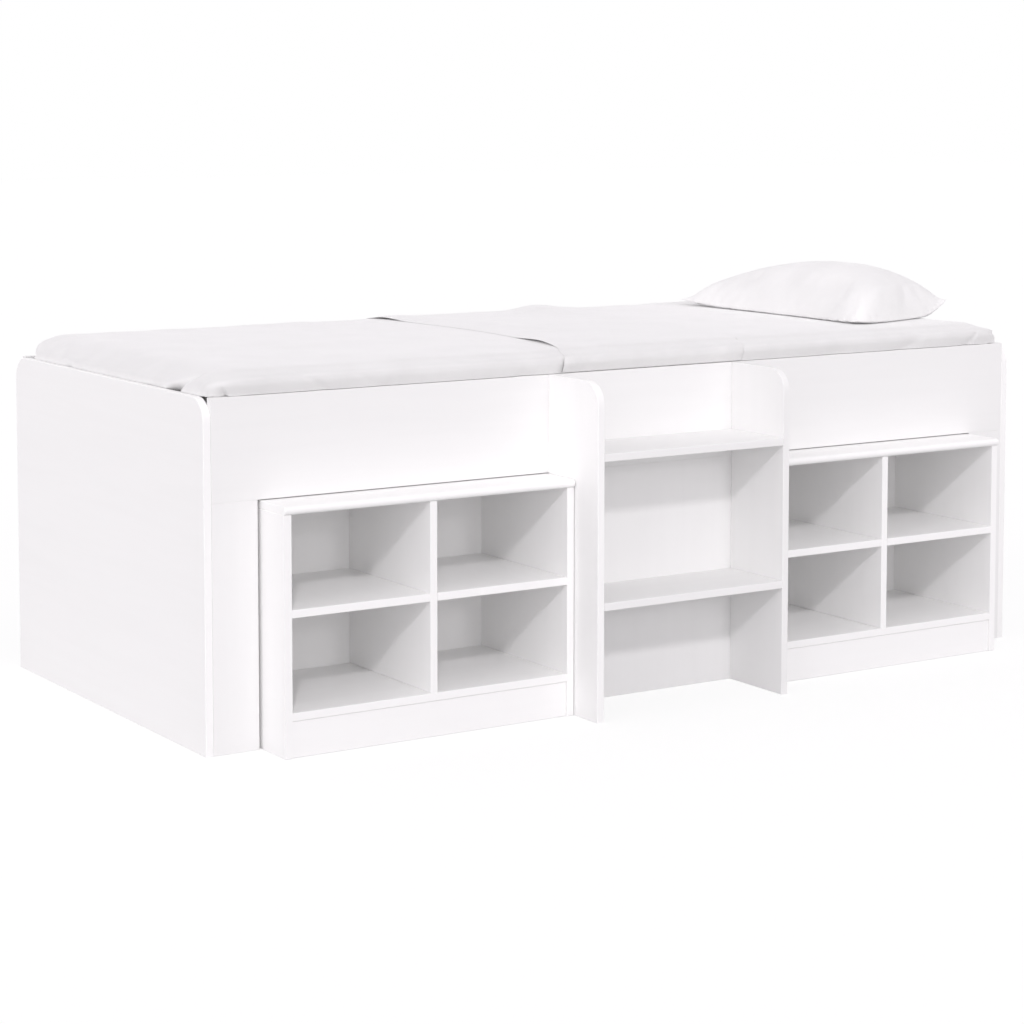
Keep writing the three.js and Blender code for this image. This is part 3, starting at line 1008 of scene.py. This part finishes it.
    def relief(self, points: Array, normals: Array, low: Array, high: Array) -> Array:
        """How far each point moves along its normal: rumples on top and folds at the sides.

        Under the pillow the top is a little lower, and under the throw it is flat and its sides lie a little
        further in.

        Args:
            points: vertex positions in the bed's frame.
            normals: their outward normals.
            low: the frame node's lowest corner.
            high: the frame node's highest corner.

        Returns:
            The offsets in metres.
        """
        x, y, z = points.T
        share = (y - low[1]) / (high[1] - low[1])
        beyond = np.maximum(lerp(*self.throw_from, share) - x, x - lerp(*self.throw_to, share))
        bare = smoothstep(*self.throw_rim, beyond)
        covered = smoothstep(self.throw_rim[0], -2 * MM, beyond)
        up = smoothstep(0.5, 0.95, normals[:, 2])
        long_waves, short_waves = self.rumple_lengths
        waves = rumple(x, y, long_waves, 3) + 0.5 * rumple(x, y, short_waves, 4)
        pillow_low, pillow_high = box_of("pillow")
        under = smoothstep(*self.dent_rim, x - pillow_low[0])
        under = under * smoothstep(*self.dent_rim, pillow_high[1] - self.dent_rim[0] - y)
        top = self.rumple_height * up * waves * (1 - under) - self.dent * up * under
        at_end = np.abs(normals[:, 0]) > np.abs(normals[:, 1])
        waves = rumple(np.where(at_end, y, x), z * 0.4, self.side_length, 5)
        side = self.side_height * (1 - up) * smoothstep(-0.2, 0.3, normals[:, 2] + 0.25) * waves
        inset = self.throw_inset * covered * smoothstep(0.35, 0.95, 1 - normals[:, 2])
        offset = (top + side - self.creases(points, normals)) * bare - inset
        return offset * self.clear_of_foot(z, low[2])

    def bulge(self, z: Array, normals: Array) -> Array:
        """How far the sides stand out. Above a rail they rest on its top and swell towards its outer face.

        Args:
            z: the height of each point.
            normals: outward normals.

        Returns:
            The offsets in metres.
        """
        above = z - rail_top()
        endwise, inward = np.abs(normals[:, 0]), normals[:, 1]
        rear_side = self.rear_share * smoothstep(0.75, 0.99, inward)
        long_side = np.maximum(smoothstep(0.3, 0.7, -inward), rear_side)
        level = smoothstep(0.35, 0.95, np.hypot(endwise, inward))
        on_rail = smoothstep(-0.01 * MM, 0.3 * MM, above)
        rest = lerp(*self.rest_out, long_side) * on_rail
        swell = lerp(*self.swell_out, long_side) * smoothstep(-2 * MM, 24 * MM, above)
        rear = np.clip(2 * endwise * inward, 0, 1) ** 2 * smoothstep(0.0, 6 * MM, above)
        front = np.clip(-2 * endwise * inward, 0, 1) ** 2 * on_rail
        corners = self.front_corner_out * front - self.rear_corner_in * rear
        return level * (lerp(*self.growth, long_side) + rest + swell + corners)

    def folded(self, z: Array) -> Array:
        """Draws heights near the rails' top towards it, so that the sheet turns over it in a crisp fold.

        Args:
            z: heights in the bed's frame.

        Returns:
            The new heights.
        """
        above = z - rail_top()
        return z - above * self.fold_share * bell(above, self.fold_reach)

    def build(self, box: Paintbox) -> Piece:
        """Builds the mattress: a grid on top, rings down its sides and one face below, all closed.

        Args:
            box: the finishes.

        Returns:
            The finished piece.
        """
        low, high = box_of(self.node)
        middle, half = (low + high) / 2, (high - low) / 2
        height = high[2] - low[2]
        wall = self.wall(half[:2], height)
        rings, count = wall.shape[:2]
        core = half[:2] - self.shoulder_in
        x = np.linspace(core[0], -core[0], self.along + 1)
        y = np.linspace(core[1], -core[1], self.across + 1)
        flat = np.stack(np.meshgrid(x, y, indexing="ij"), -1)
        flat = np.concatenate([flat, np.full((*flat.shape[:2], 1), height)], -1)
        points = np.concatenate([wall.reshape(-1, 3), flat.reshape(-1, 3)])
        top = grid_quads(self.along + 1, self.across + 1)[:, ::-1] + rings * count
        quads = np.concatenate([grid_quads(rings, count, closed=True), top])
        points = points + np.array([middle[0], middle[1], low[2]])
        normals = vertex_normals(points, quads)
        points[:, 2] = self.folded(points[:, 2])
        outward = normals * [1, 1, 0] / np.maximum(np.hypot(normals[:, 0], normals[:, 1]), 1e-6)[:, None]
        out = self.bulge(points[:, 2], normals) * self.clear_of_foot(points[:, 2], low[2])
        points = points + normals * self.relief(points, normals, low, high)[:, None] + outward * out[:, None]
        merged, faces, place = weld(points, quads)
        faces.append(place[:count][::-1].tolist())
        piece = mesh_piece("mattress_in_sheet", merged, faces)
        piece.data.set_sharp_from_angle(angle=math.radians(self.fold_angle))
        flat_uv(piece)
        piece.data.materials.append(box.sheet)
        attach(piece, self.body)
        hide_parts(self.node)
        log.info("built %s with %d faces", piece.name, len(faces))
        return piece


@dataclass(frozen=True)
class Ridge:
    """A raised line in the throw, placed by its share of the cloth's width.

    It runs from front to back and may drift across the width by its slant.
    """

    place: float
    width: float
    height: float
    slant: float = 0.0

    def rise(self, across: Array, share: Array) -> Array:
        """How far it lifts the cloth: height times exp(-((across - place - slant share) / width)²).

        Args:
            across: place in the cloth's width, from 0 to 1.
            share: place from the front to the back, from 0 to 1.

        Returns:
            The lift in metres.
        """
        return self.height * bell(across - self.place - self.slant * share, self.width)


@dataclass(frozen=True)
class Gap:
    """A stretch of the throw's edge that stands open, by its share of the way from front to back."""

    start: float
    peak: float
    end: float
    height: float

    def rise(self, share: Array) -> Array:
        """Returns a smooth rise from 0 at its start to its height at its peak and back to 0 at its end."""
        rising = smoothstep(self.start, self.peak, share)
        return self.height * rising * (1 - smoothstep(self.peak, self.end, share))


@dataclass
class Throw:
    """A light cloth laid over the mattress from front to back and tucked in on both sides."""

    node: str = "throw"
    body: str = "bed"
    slot: str = "throw_cloth"
    front_left: float = 836 * MM
    front_right: float = 1300 * MM
    left_slant: float = 14 * MM
    waist: float = 52 * MM
    front_sideways: float = 21 * MM
    front_fade: float = 0.02
    splay: float = 140 * MM
    tuck: float = 45 * MM
    cloth: float = 0.5 * MM
    clear: float = 0.12 * MM
    hem: float = 14 * MM
    hem_rise: float = 0.06 * MM
    stitch_width: float = 1.2 * MM
    stitch_depth: float = 0.2 * MM
    wave_heights: Pair = (0.7 * MM, 0.3 * MM)
    wave_lengths: Pair = (0.16, 0.07)
    ripples: tuple[Ridge, ...] = (
        Ridge(0.030, 0.007, 2.6 * MM),
        Ridge(0.052, 0.008, 3.0 * MM),
        Ridge(0.078, 0.009, 2.4 * MM),
        Ridge(0.110, 0.012, 1.4 * MM),
        Ridge(0.62, 0.03, 1.6 * MM),
        Ridge(0.9, 0.02, 2.0 * MM),
    )
    front_fold: Ridge = Ridge(0.2, 0.05, 3.0 * MM, 0.9)
    back_fold: Ridge = Ridge(0.45, 0.09, 3.2 * MM, -0.35)
    back_hump: Ridge = Ridge(0.81, 0.1, 10.5 * MM)
    gaps: tuple[Gap, ...] = (Gap(0.030, 0.15, 0.32, 5.5 * MM), Gap(0.790, 0.90, 0.975, 5.0 * MM))
    near_edge_out: float = 2.5 * MM
    far_edge_rise: float = 0.5 * MM
    rows_top: int = 84
    rows_tail: int = 8
    columns: int = 78

    def path(self, mattress: Mattress) -> tuple[Array, Array]:
        """The way over the mattress, from the front tail to the back one.

        Args:
            mattress: gives the section that the cloth follows.

        Returns:
            Points in Y and Z, and their outward normals.
        """
        low, high = box_of(mattress.node)
        shoulder = mattress.shoulder()
        y = low[1] + mattress.shoulder_in * (1 - shoulder)
        z = high[2] - mattress.sink(shoulder, mattress.side_power)
        tail = np.linspace(-self.tuck, 0.0, self.rows_tail + 1)[:-1] + mattress.folded(z[0])
        rise = np.stack([np.r_[np.full(len(tail), low[1]), y], np.r_[tail, z]], -1)
        fall = rise[::-1] * [-1, 1] + [low[1] + high[1], 0]
        flat_y = np.linspace(rise[-1, 0], fall[0, 0], self.rows_top + 1)[1:-1]
        flat = np.stack([flat_y, np.full(len(flat_y), high[2])], -1)
        points = np.concatenate([rise, flat, fall])
        run = np.gradient(points, axis=0)
        run /= np.linalg.norm(run, axis=1, keepdims=True)
        normals = np.stack([-run[:, 1], run[:, 0]], -1)
        points[:, 1] = mattress.folded(points[:, 1])
        return points, normals

    def lift(self, x: Array, across: Array, share: Array, above: Array, high_on: Array) -> Array:
        """How far the cloth stands off the mattress: low folds, ripples by the near edge and lifted hems.

        Args:
            x: place along the bed.
            across: place in the cloth's width, from 0 to 1.
            share: place from the front to the back, from 0 to 1.
            above: height above the rails.
            high_on: 1 on the flat top and 0 down the sides.

        Returns:
            The lift in metres.
        """
        free = smoothstep(6 * MM, 22 * MM, above)
        inside = smoothstep(0.0, 0.07, across) * smoothstep(0.0, 0.05, 1 - across)
        long_waves = self.wave_heights[0] * (1 + rumple(x, share, self.wave_lengths[0], 11))
        short_waves = self.wave_heights[1] * (1 + rumple(x, share * 1.3, self.wave_lengths[1], 12))
        front_fold = self.front_fold.rise(across, share) * (1 - smoothstep(0.25, 0.55, share))
        back_fold = self.back_fold.rise(across, share) * smoothstep(0.35, 0.6, share)
        folds = (long_waves + short_waves + front_fold + back_fold) * inside
        ripples = sum(ripple.rise(across, share) for ripple in self.ripples)
        ripples = ripples * (1 - smoothstep(0.02, 0.10, share)) * (0.25 + 0.75 * (1 - high_on))
        hump = self.back_hump.rise(across, share) * smoothstep(0.72, 0.9, share) * high_on
        gaps = sum(gap.rise(share) for gap in self.gaps) * bell(across, 0.05) * high_on
        far_edge = self.far_edge_rise * bell(1 - across, 0.03) * np.abs(np.sin(share * 9))
        near_edge = self.near_edge_out * bell(across, 0.03) * (1 - high_on)
        near_edge = near_edge * (1 - smoothstep(6 * MM, 34 * MM, above)) * smoothstep(0.0, 3 * MM, above)
        return near_edge + free * (hump + folds + ripples + gaps + far_edge)

    def build(self, box: Paintbox, mattress: Mattress) -> Piece:
        """Builds the cloth as a grid along its path and across it, then gives it its thickness.

        Args:
            box: the finishes.
            mattress: what it lies on.

        Returns:
            The finished piece.
        """
        path, normals = self.path(mattress)
        half_bed = box_of("end_panel_right")[1][0]
        share = ((path[:, 0] - path[0, 0]) / (path[-1, 0] - path[0, 0]))[:, None]
        across = np.linspace(0.0, 1.0, self.columns + 1)[None, :]
        left = self.front_left + self.left_slant * share + self.waist * np.sin(math.pi * share) - half_bed
        right = self.front_right + self.splay * share - half_bed
        x = left + (right - left) * across - self.front_sideways * np.exp(-share / self.front_fade)
        above = path[:, 1:] - rail_top()
        high_on = smoothstep(0.4, 0.95, normals[:, 1:])
        lift = self.lift(*np.broadcast_arrays(x, across, share, above, high_on))
        from_hem = np.minimum(across, 1 - across) * (right - left)
        hem = self.hem_rise * (1 - smoothstep(self.hem - 2 * MM, self.hem, from_hem))
        stitch = self.stitch_depth * bell(from_hem - self.hem, self.stitch_width)
        bulge = mattress.bulge(path[:, 1], np.insert(normals, 0, 0.0, axis=1))
        off = self.clear + lift + (hem - stitch) * (above > 10 * MM)
        y = (path[:, 0] + np.sign(normals[:, 0]) * bulge)[:, None] + normals[:, :1] * off
        z = path[:, 1:] + normals[:, 1:] * off
        points = np.stack([x, y, z], -1)
        rows, columns = points.shape[:2]
        steps = np.linalg.norm(np.diff(points[:, columns // 2], axis=0), axis=1)
        so_far = np.r_[0.0, np.cumsum(steps)]
        piece = mesh_piece("throw_cloth", points.reshape(-1, 3), grid_quads(rows, columns).tolist())
        flat = np.stack(np.broadcast_arrays(x, so_far[:, None]), -1).reshape(-1, 2)
        add_uv(piece, flat[corners_of(piece)])
        thick = piece.modifiers.new("thickness", "SOLIDIFY")
        thick.thickness = self.cloth
        thick.offset = 1.0
        smooth = piece.modifiers.new("smooth", "SUBSURF")
        smooth.levels = smooth.render_levels = 1
        piece.data.materials.append(box.throw)
        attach(piece, self.body)
        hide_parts(self.node)
        return piece


@dataclass
class Pillow:
    """A filled pillow in its case: crowned, drawn in between its ears and puckered along its seam."""

    node: str = "pillow"
    body: str = "bed"
    slot: str = "pillow_cloth"
    width: float = 326 * MM
    length_foot: float = 680 * MM
    length_head: float = 564 * MM
    height: float = 117 * MM
    head_back: float = 37 * MM
    from_front: float = 70 * MM
    clear: float = 0.3 * MM
    pull: float = 15.5 * MM
    seam: float = 1.5 * MM
    foot_lift: float = 4 * MM
    head_lift: float = 39 * MM
    back_ear: Triple = (-14 * MM, 24 * MM, 9 * MM)
    front_corner: Triple = (-14 * MM, 22 * MM, 1 * MM)
    corner_round: float = 9 * MM
    full_across: float = 0.41
    full_along: float = 0.32
    front_swell: float = 0.127
    belly_spread: float = 2.2
    dent_height: float = 2.2 * MM
    dent_length: float = 210 * MM
    puckers_each: int = 12
    pucker_reach: float = 0.85
    pucker_jitter: float = 0.06
    pucker_depth: float = 1 * MM
    pucker_shares: Pair = (0.5, 1.6)
    pucker_widths: Pair = (0.022, 0.055)
    pucker_lengths: Pair = (0.12, 0.42)
    pucker_lean: float = 0.18
    columns: int = 110
    rows: int = 190
    seam_points: int = 240
    voxel: float = 5.5 * MM
    held_width: float = 6 * MM
    seam_width: float = 5 * MM
    corner_reach: float = 110 * MM
    ear_reach: float = 30 * MM
    rounding: int = 90
    calming: int = 12
    pressure: float = 4.0
    slack: float = 0.03
    most: float = 7 * MM
    steps: int = 20

    def face(self, across: Array, along: Array, upper: bool) -> Array:
        """One face of the pillow.

        Its swell is (1 - across²)^p (1 - along²)^q, and its ears lift by |across along|³.

        Args:
            across: from foot to head, from -1 to 1.
            along: from front to back, from -1 to 1.
            upper: whether it is the crowned face or the one that lies down.

        Returns:
            Points around the middle of the foot side, standing on height 0.
        """
        headward = (across + 1) / 2
        half = lerp(self.length_foot, self.length_head, headward) / 2
        round_across = np.clip(1 - across**2, 0, 1)
        round_along = np.clip(1 - along**2, 0, 1)
        x = self.width / 2 * across - self.pull * across * round_along
        y = half * along - self.pull * along * round_across + self.head_back * headward
        seam = self.seam + lerp(self.foot_lift, self.head_lift, headward) * np.abs(across * along) ** 3
        back = np.clip(-across, 0, 1) * np.clip(along, 0, 1)
        front = np.clip(-across, 0, 1) * np.clip(-along, 0, 1)
        x, y, seam = (value + ear * back**3 + corner * front**3
                      for value, ear, corner in zip((x, y, seam), self.back_ear, self.front_corner))
        x, y = x + self.corner_round * front**12, y + self.corner_round * front**12
        swell = round_across**self.full_across * round_along**self.full_along
        if upper:
            z = seam + (self.height - seam) * swell * (1 - self.front_swell * along)
        else:
            z = seam * (1 - np.minimum(1.0, self.belly_spread * swell))
        return np.stack(np.broadcast_arrays(x, y, z), -1)

    def puckers(self, across: Array, along: Array) -> Array:
        """Depth of the folds that run in from the seam and die out on the crown.

        Args:
            across: from foot to head, from -1 to 1.
            along: from front to back, from -1 to 1.

        Returns:
            The depth in metres.
        """
        rng = np.random.default_rng(21)
        count, jitter = self.puckers_each, self.pucker_jitter
        depth = np.zeros(np.broadcast(across, along).shape)
        for side, free in ((across, along), (along, across)):
            for sign in (-1.0, 1.0):
                away = 1 - sign * side
                places = np.linspace(-self.pucker_reach, self.pucker_reach, count)
                for place in places + rng.uniform(-jitter, jitter, count):
                    deep = rng.uniform(*self.pucker_shares) * self.pucker_depth
                    width = rng.uniform(*self.pucker_widths)
                    length = rng.uniform(*self.pucker_lengths)
                    lean = rng.uniform(-self.pucker_lean, self.pucker_lean)
                    line = bell(free - place - lean * away, width * (1 + away))
                    depth += deep * line * bell(away, length) * smoothstep(0.0, 0.03, away)
        return depth

    def outline(self) -> Array:
        """Follows the seam all the way round.

        Returns:
            Points along it, close together.
        """
        run = np.linspace(-1.0, 1.0, self.seam_points)
        one = np.ones_like(run)
        sides = [(run, -one), (one, run), (-run, one), (-one, -run)]
        return np.concatenate([self.face(*side, True) for side in sides])

    def place(self) -> Array:
        """Places the pillow on the mattress.

        Returns:
            Where the middle of its foot side lies in the bed's frame.
        """
        low, high = box_of(self.node)
        mattress_low, mattress_high = box_of("mattress")
        seam = self.outline()
        return np.array([
            (low[0] + high[0] - seam[:, 0].min() - seam[:, 0].max()) / 2,
            mattress_low[1] + self.from_front + self.length_foot / 2,
            mattress_high[2] + self.clear,
        ])

    def fill_case(self, piece: Piece, seam: Array) -> None:
        """Fills the case: evens out its mesh, rounds its corners and lets cloth held along the seam swell.

        Args:
            piece: the closed pillow.
            seam: points along its seam.
        """
        applied(piece, "even", "REMESH", mode="VOXEL", voxel_size=self.voxel)
        start = points_of(piece)
        away = nearest(start, seam)[1]
        held = np.flatnonzero(away < self.held_width).tolist()
        piece.vertex_groups.new(name="held").add(held, 1.0, "REPLACE")
        corners = seam[np.arange(4) * self.seam_points]
        near = bell(nearest(start, corners)[1], self.corner_reach)
        before = relaxed(piece, start, near * smoothstep(0.0, 2 * self.held_width, away), self.rounding)
        move_points(piece, before)
        after = self.swell(piece)
        moved = after - before
        length = np.linalg.norm(moved, axis=1, keepdims=True)
        before = before + moved * np.minimum(1.0, self.most / np.maximum(length, 1e-9))
        before = relaxed(piece, before, smoothstep(self.held_width, 5 * self.held_width, away), self.calming)
        for corner in corners[1:]:
            apart = np.linalg.norm(before - corner, axis=1)
            pull = corner - before[apart.argmin()]
            before = before + pull * bell(apart, self.ear_reach)[:, None]
        edge, away = nearest(before, seam)
        points = before + (edge - before) * bell(away, self.seam_width)[:, None]
        points[:, 2] = np.maximum(points[:, 2], box_of("mattress")[1][2] + self.clear)
        move_points(piece, points)
        piece.vertex_groups.clear()
        piece.data.polygons.foreach_set("use_smooth", np.ones(len(piece.data.polygons), bool))
        piece.data.update()

    def swell(self, piece: Piece) -> Array:
        """Runs the cloth under pressure, with no weight of its own.

        Args:
            piece: the pillow, with the vertices of its seam in the group held.

        Returns:
            Where its vertices come to rest.
        """
        cloth = piece.modifiers.new("cloth", "CLOTH")
        settings = cloth.settings
        settings.quality = 6
        settings.mass = 0.3
        settings.tension_stiffness = settings.compression_stiffness = 12.0
        settings.shear_stiffness = 4.0
        settings.bending_stiffness = 0.15
        settings.use_pressure = True
        settings.uniform_pressure_force = self.pressure
        settings.shrink_min = -self.slack
        settings.vertex_group_mass = "held"
        settings.effector_weights.gravity = 0.0
        cloth.collision_settings.use_self_collision = False
        scene = bpy.context.scene
        for step in range(1, self.steps + 1):
            scene.frame_set(step)
        points = points_of(piece, evaluated=True)
        piece.modifiers.remove(cloth)
        scene.frame_set(1)
        return points

    def build(self, box: Paintbox) -> Piece:
        """Builds the pillow as two faces that share a seam, then fills it.

        Args:
            box: the finishes.

        Returns:
            The finished piece.
        """
        across = -np.cos(np.linspace(0.0, math.pi, self.columns + 1))[:, None]
        along = -np.cos(np.linspace(0.0, math.pi, self.rows + 1))[None, :]
        upper = self.face(across, along, True)
        lower = self.face(across, along, False)
        shape = upper.shape[:2]
        quads = grid_quads(*shape)[:, ::-1]
        normals = vertex_normals(upper.reshape(-1, 3), quads).reshape(upper.shape)
        inside = np.clip(1 - across**2, 0, 1) * np.clip(1 - along**2, 0, 1)
        dents = self.dent_height * rumple(upper[..., 0], upper[..., 1], self.dent_length, 31)
        puckers = self.puckers(across, along) * smoothstep(0.0, 0.02, inside)
        upper = upper + normals * (dents * smoothstep(0.0, 0.25, inside) - puckers)[..., None]
        place = self.place()
        points = np.concatenate([upper.reshape(-1, 3), lower.reshape(-1, 3)]) + place
        merged, faces, _ = weld(points, np.concatenate([quads, quads[:, ::-1] + shape[0] * shape[1]]))
        piece = mesh_piece("pillow_in_case", merged, faces)
        self.fill_case(piece, self.outline() + place)
        flat_uv(piece)
        smooth = piece.modifiers.new("smooth", "SUBSURF")
        smooth.levels = smooth.render_levels = 1
        piece.data.materials.append(box.pillow)
        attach(piece, self.body)
        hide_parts(self.node)
        log.info("built %s with %d faces", piece.name, len(piece.data.polygons))
        return piece


# Studio


@dataclass(frozen=True)
class Lamp:
    """A far lamp: where its light comes from, its strength and how wide it looks in degrees."""

    name: str
    source: Triple
    strength: float
    spread: float

    def hang(self, tint: Triple) -> None:
        """Makes the lamp.

        Args:
            tint: the colour of its light.
        """
        data = bpy.data.lights.new(self.name, "SUN")
        data.energy = self.strength
        data.angle = math.radians(self.spread)
        data.color = tint
        lamp = bpy.data.objects.new(self.name, data)
        lamp.rotation_mode = "QUATERNION"
        lamp.rotation_quaternion = Vector(self.source).to_track_quat("Z", "Y")
        bpy.context.scene.collection.objects.link(lamp)


@dataclass
class Studio:
    """A pale floor, far lamps, an even white surround and the camera."""

    eye: Triple = (-3.151545, -4.795002, 1.267903)
    turn: float = 32.548
    tilt: float = 4.747
    sight: float = 2595.095
    frame_pixels: float = 1024.0
    film: float = 36.0
    shift: float = -0.20
    surround: float = 0.65
    tint: Triple = (1.0, 0.972, 1.0)
    lamps: tuple[Lamp, ...] = (
        Lamp("main_lamp", (-0.60, -1.0, 0.76), 0.76, 4.0),
        Lamp("low_lamp", (0.12, -1.0, 0.31), 0.13, 4.0),
        Lamp("side_lamp", (-1.0, -0.2, 0.3), 0.64, 60.0),
        Lamp("front_lamp", (-0.25, -1.0, 0.12), 0.42, 45.0),
        Lamp("upper_lamp", (-0.2, 0.0, 1.0), 0.10, 90.0),
    )
    floor_half: float = 30.0
    floor_drop: float = 0.2 * MM
    floor_colour: Triple = (0.64, 0.64, 0.64)
    floor_share: float = 0.25
    floor_glow: float = 0.78

    def camera(self) -> None:
        """Makes the camera where the photograph was taken from."""
        data = bpy.data.cameras.new("camera")
        data.lens = self.sight / self.frame_pixels * self.film
        data.sensor_width = self.film
        data.shift_y = self.shift
        data.clip_end = 100.0
        camera = bpy.data.objects.new("camera", data)
        camera.location = self.eye
        camera.rotation_euler = (math.radians(90 - self.tilt), 0.0, math.radians(-self.turn))
        bpy.context.scene.collection.objects.link(camera)
        bpy.context.scene.camera = camera

    @staticmethod
    def seen_apart(graph: Graph, lighting: Socket, seen: Socket) -> Socket:
        """Mixes two shaders: one lights the bed, the other is seen directly, mirrored or through glass.

        Args:
            graph: the nodes.
            lighting: the shader that lights the bed.
            seen: the shader that shows as the background.

        Returns:
            The mixed shader.
        """
        path = graph.add("ShaderNodeLightPath", {})
        rays = graph.blend("MAXIMUM", path.outputs["Is Camera Ray"], path.outputs["Is Glossy Ray"])
        rays = graph.blend("MAXIMUM", rays, path.outputs["Is Transmission Ray"])
        return graph.add("ShaderNodeMixShader", {"Fac": rays, 1: lighting, 2: seen}).outputs["Shader"]

    def world(self) -> None:
        """Makes an even surround that lights the bed and shows as plain white."""
        world = bpy.data.worlds.new("surround")
        bpy.context.scene.world = world
        world.use_nodes = True
        graph = Graph(world.node_tree)
        light = graph.tree.nodes["Background"]
        graph.feed(light, {"Color": (*self.tint, 1.0), "Strength": self.surround})
        white = graph.add("ShaderNodeBackground", {"Color": (1.0, 1.0, 1.0, 1.0), "Strength": 1.0})
        shader = self.seen_apart(graph, light.outputs["Background"], white.outputs["Background"])
        graph.feed(graph.tree.nodes["World Output"], {"Surface": shader})

    def floor(self) -> None:
        """Makes the floor: white to the eye, with the bed's soft shadow on it."""
        plan = np.array([[-1, -1], [1, -1], [1, 1], [-1, 1]]) * self.floor_half
        corners = np.insert(plan, 2, -self.floor_drop, axis=1)
        floor = mesh_piece("floor", corners, [[0, 1, 2, 3]])
        material = bpy.data.materials.new("pale_floor")
        material.use_nodes = True
        graph = Graph(material.node_tree)
        graph.tree.nodes.remove(graph.tree.nodes["Principled BSDF"])
        bounce = graph.add("ShaderNodeBsdfDiffuse", {"Color": (*self.floor_colour, 1.0)})
        shadow = graph.add("ShaderNodeBsdfDiffuse", {"Color": (self.floor_share,) * 3 + (1.0,)})
        glow = graph.add("ShaderNodeEmission", {"Strength": self.floor_glow})
        seen = graph.add("ShaderNodeAddShader", {0: shadow.outputs["BSDF"], 1: glow.outputs["Emission"]})
        shader = self.seen_apart(graph, bounce.outputs["BSDF"], seen.outputs["Shader"])
        graph.feed(graph.tree.nodes["Material Output"], {"Surface": shader})
        floor.data.materials.append(material)

    def build(self) -> None:
        """Makes the camera, the lights and the floor."""
        bpy.context.scene.view_settings.view_transform = "Standard"
        self.camera()
        self.world()
        for lamp in self.lamps:
            lamp.hang(self.tint)
        self.floor()
        log.info("studio ready")


def main() -> None:
    """Builds every piece in order."""
    logging.basicConfig(level=logging.INFO, format="%(name)s: %(message)s")
    Studio().build()
    box = Paintbox()
    Woodwork().dress(box)
    mattress = Mattress()
    mattress.build(box)
    Throw().build(box, mattress)
    Pillow().build(box)


if __name__ == "__main__":
    main()
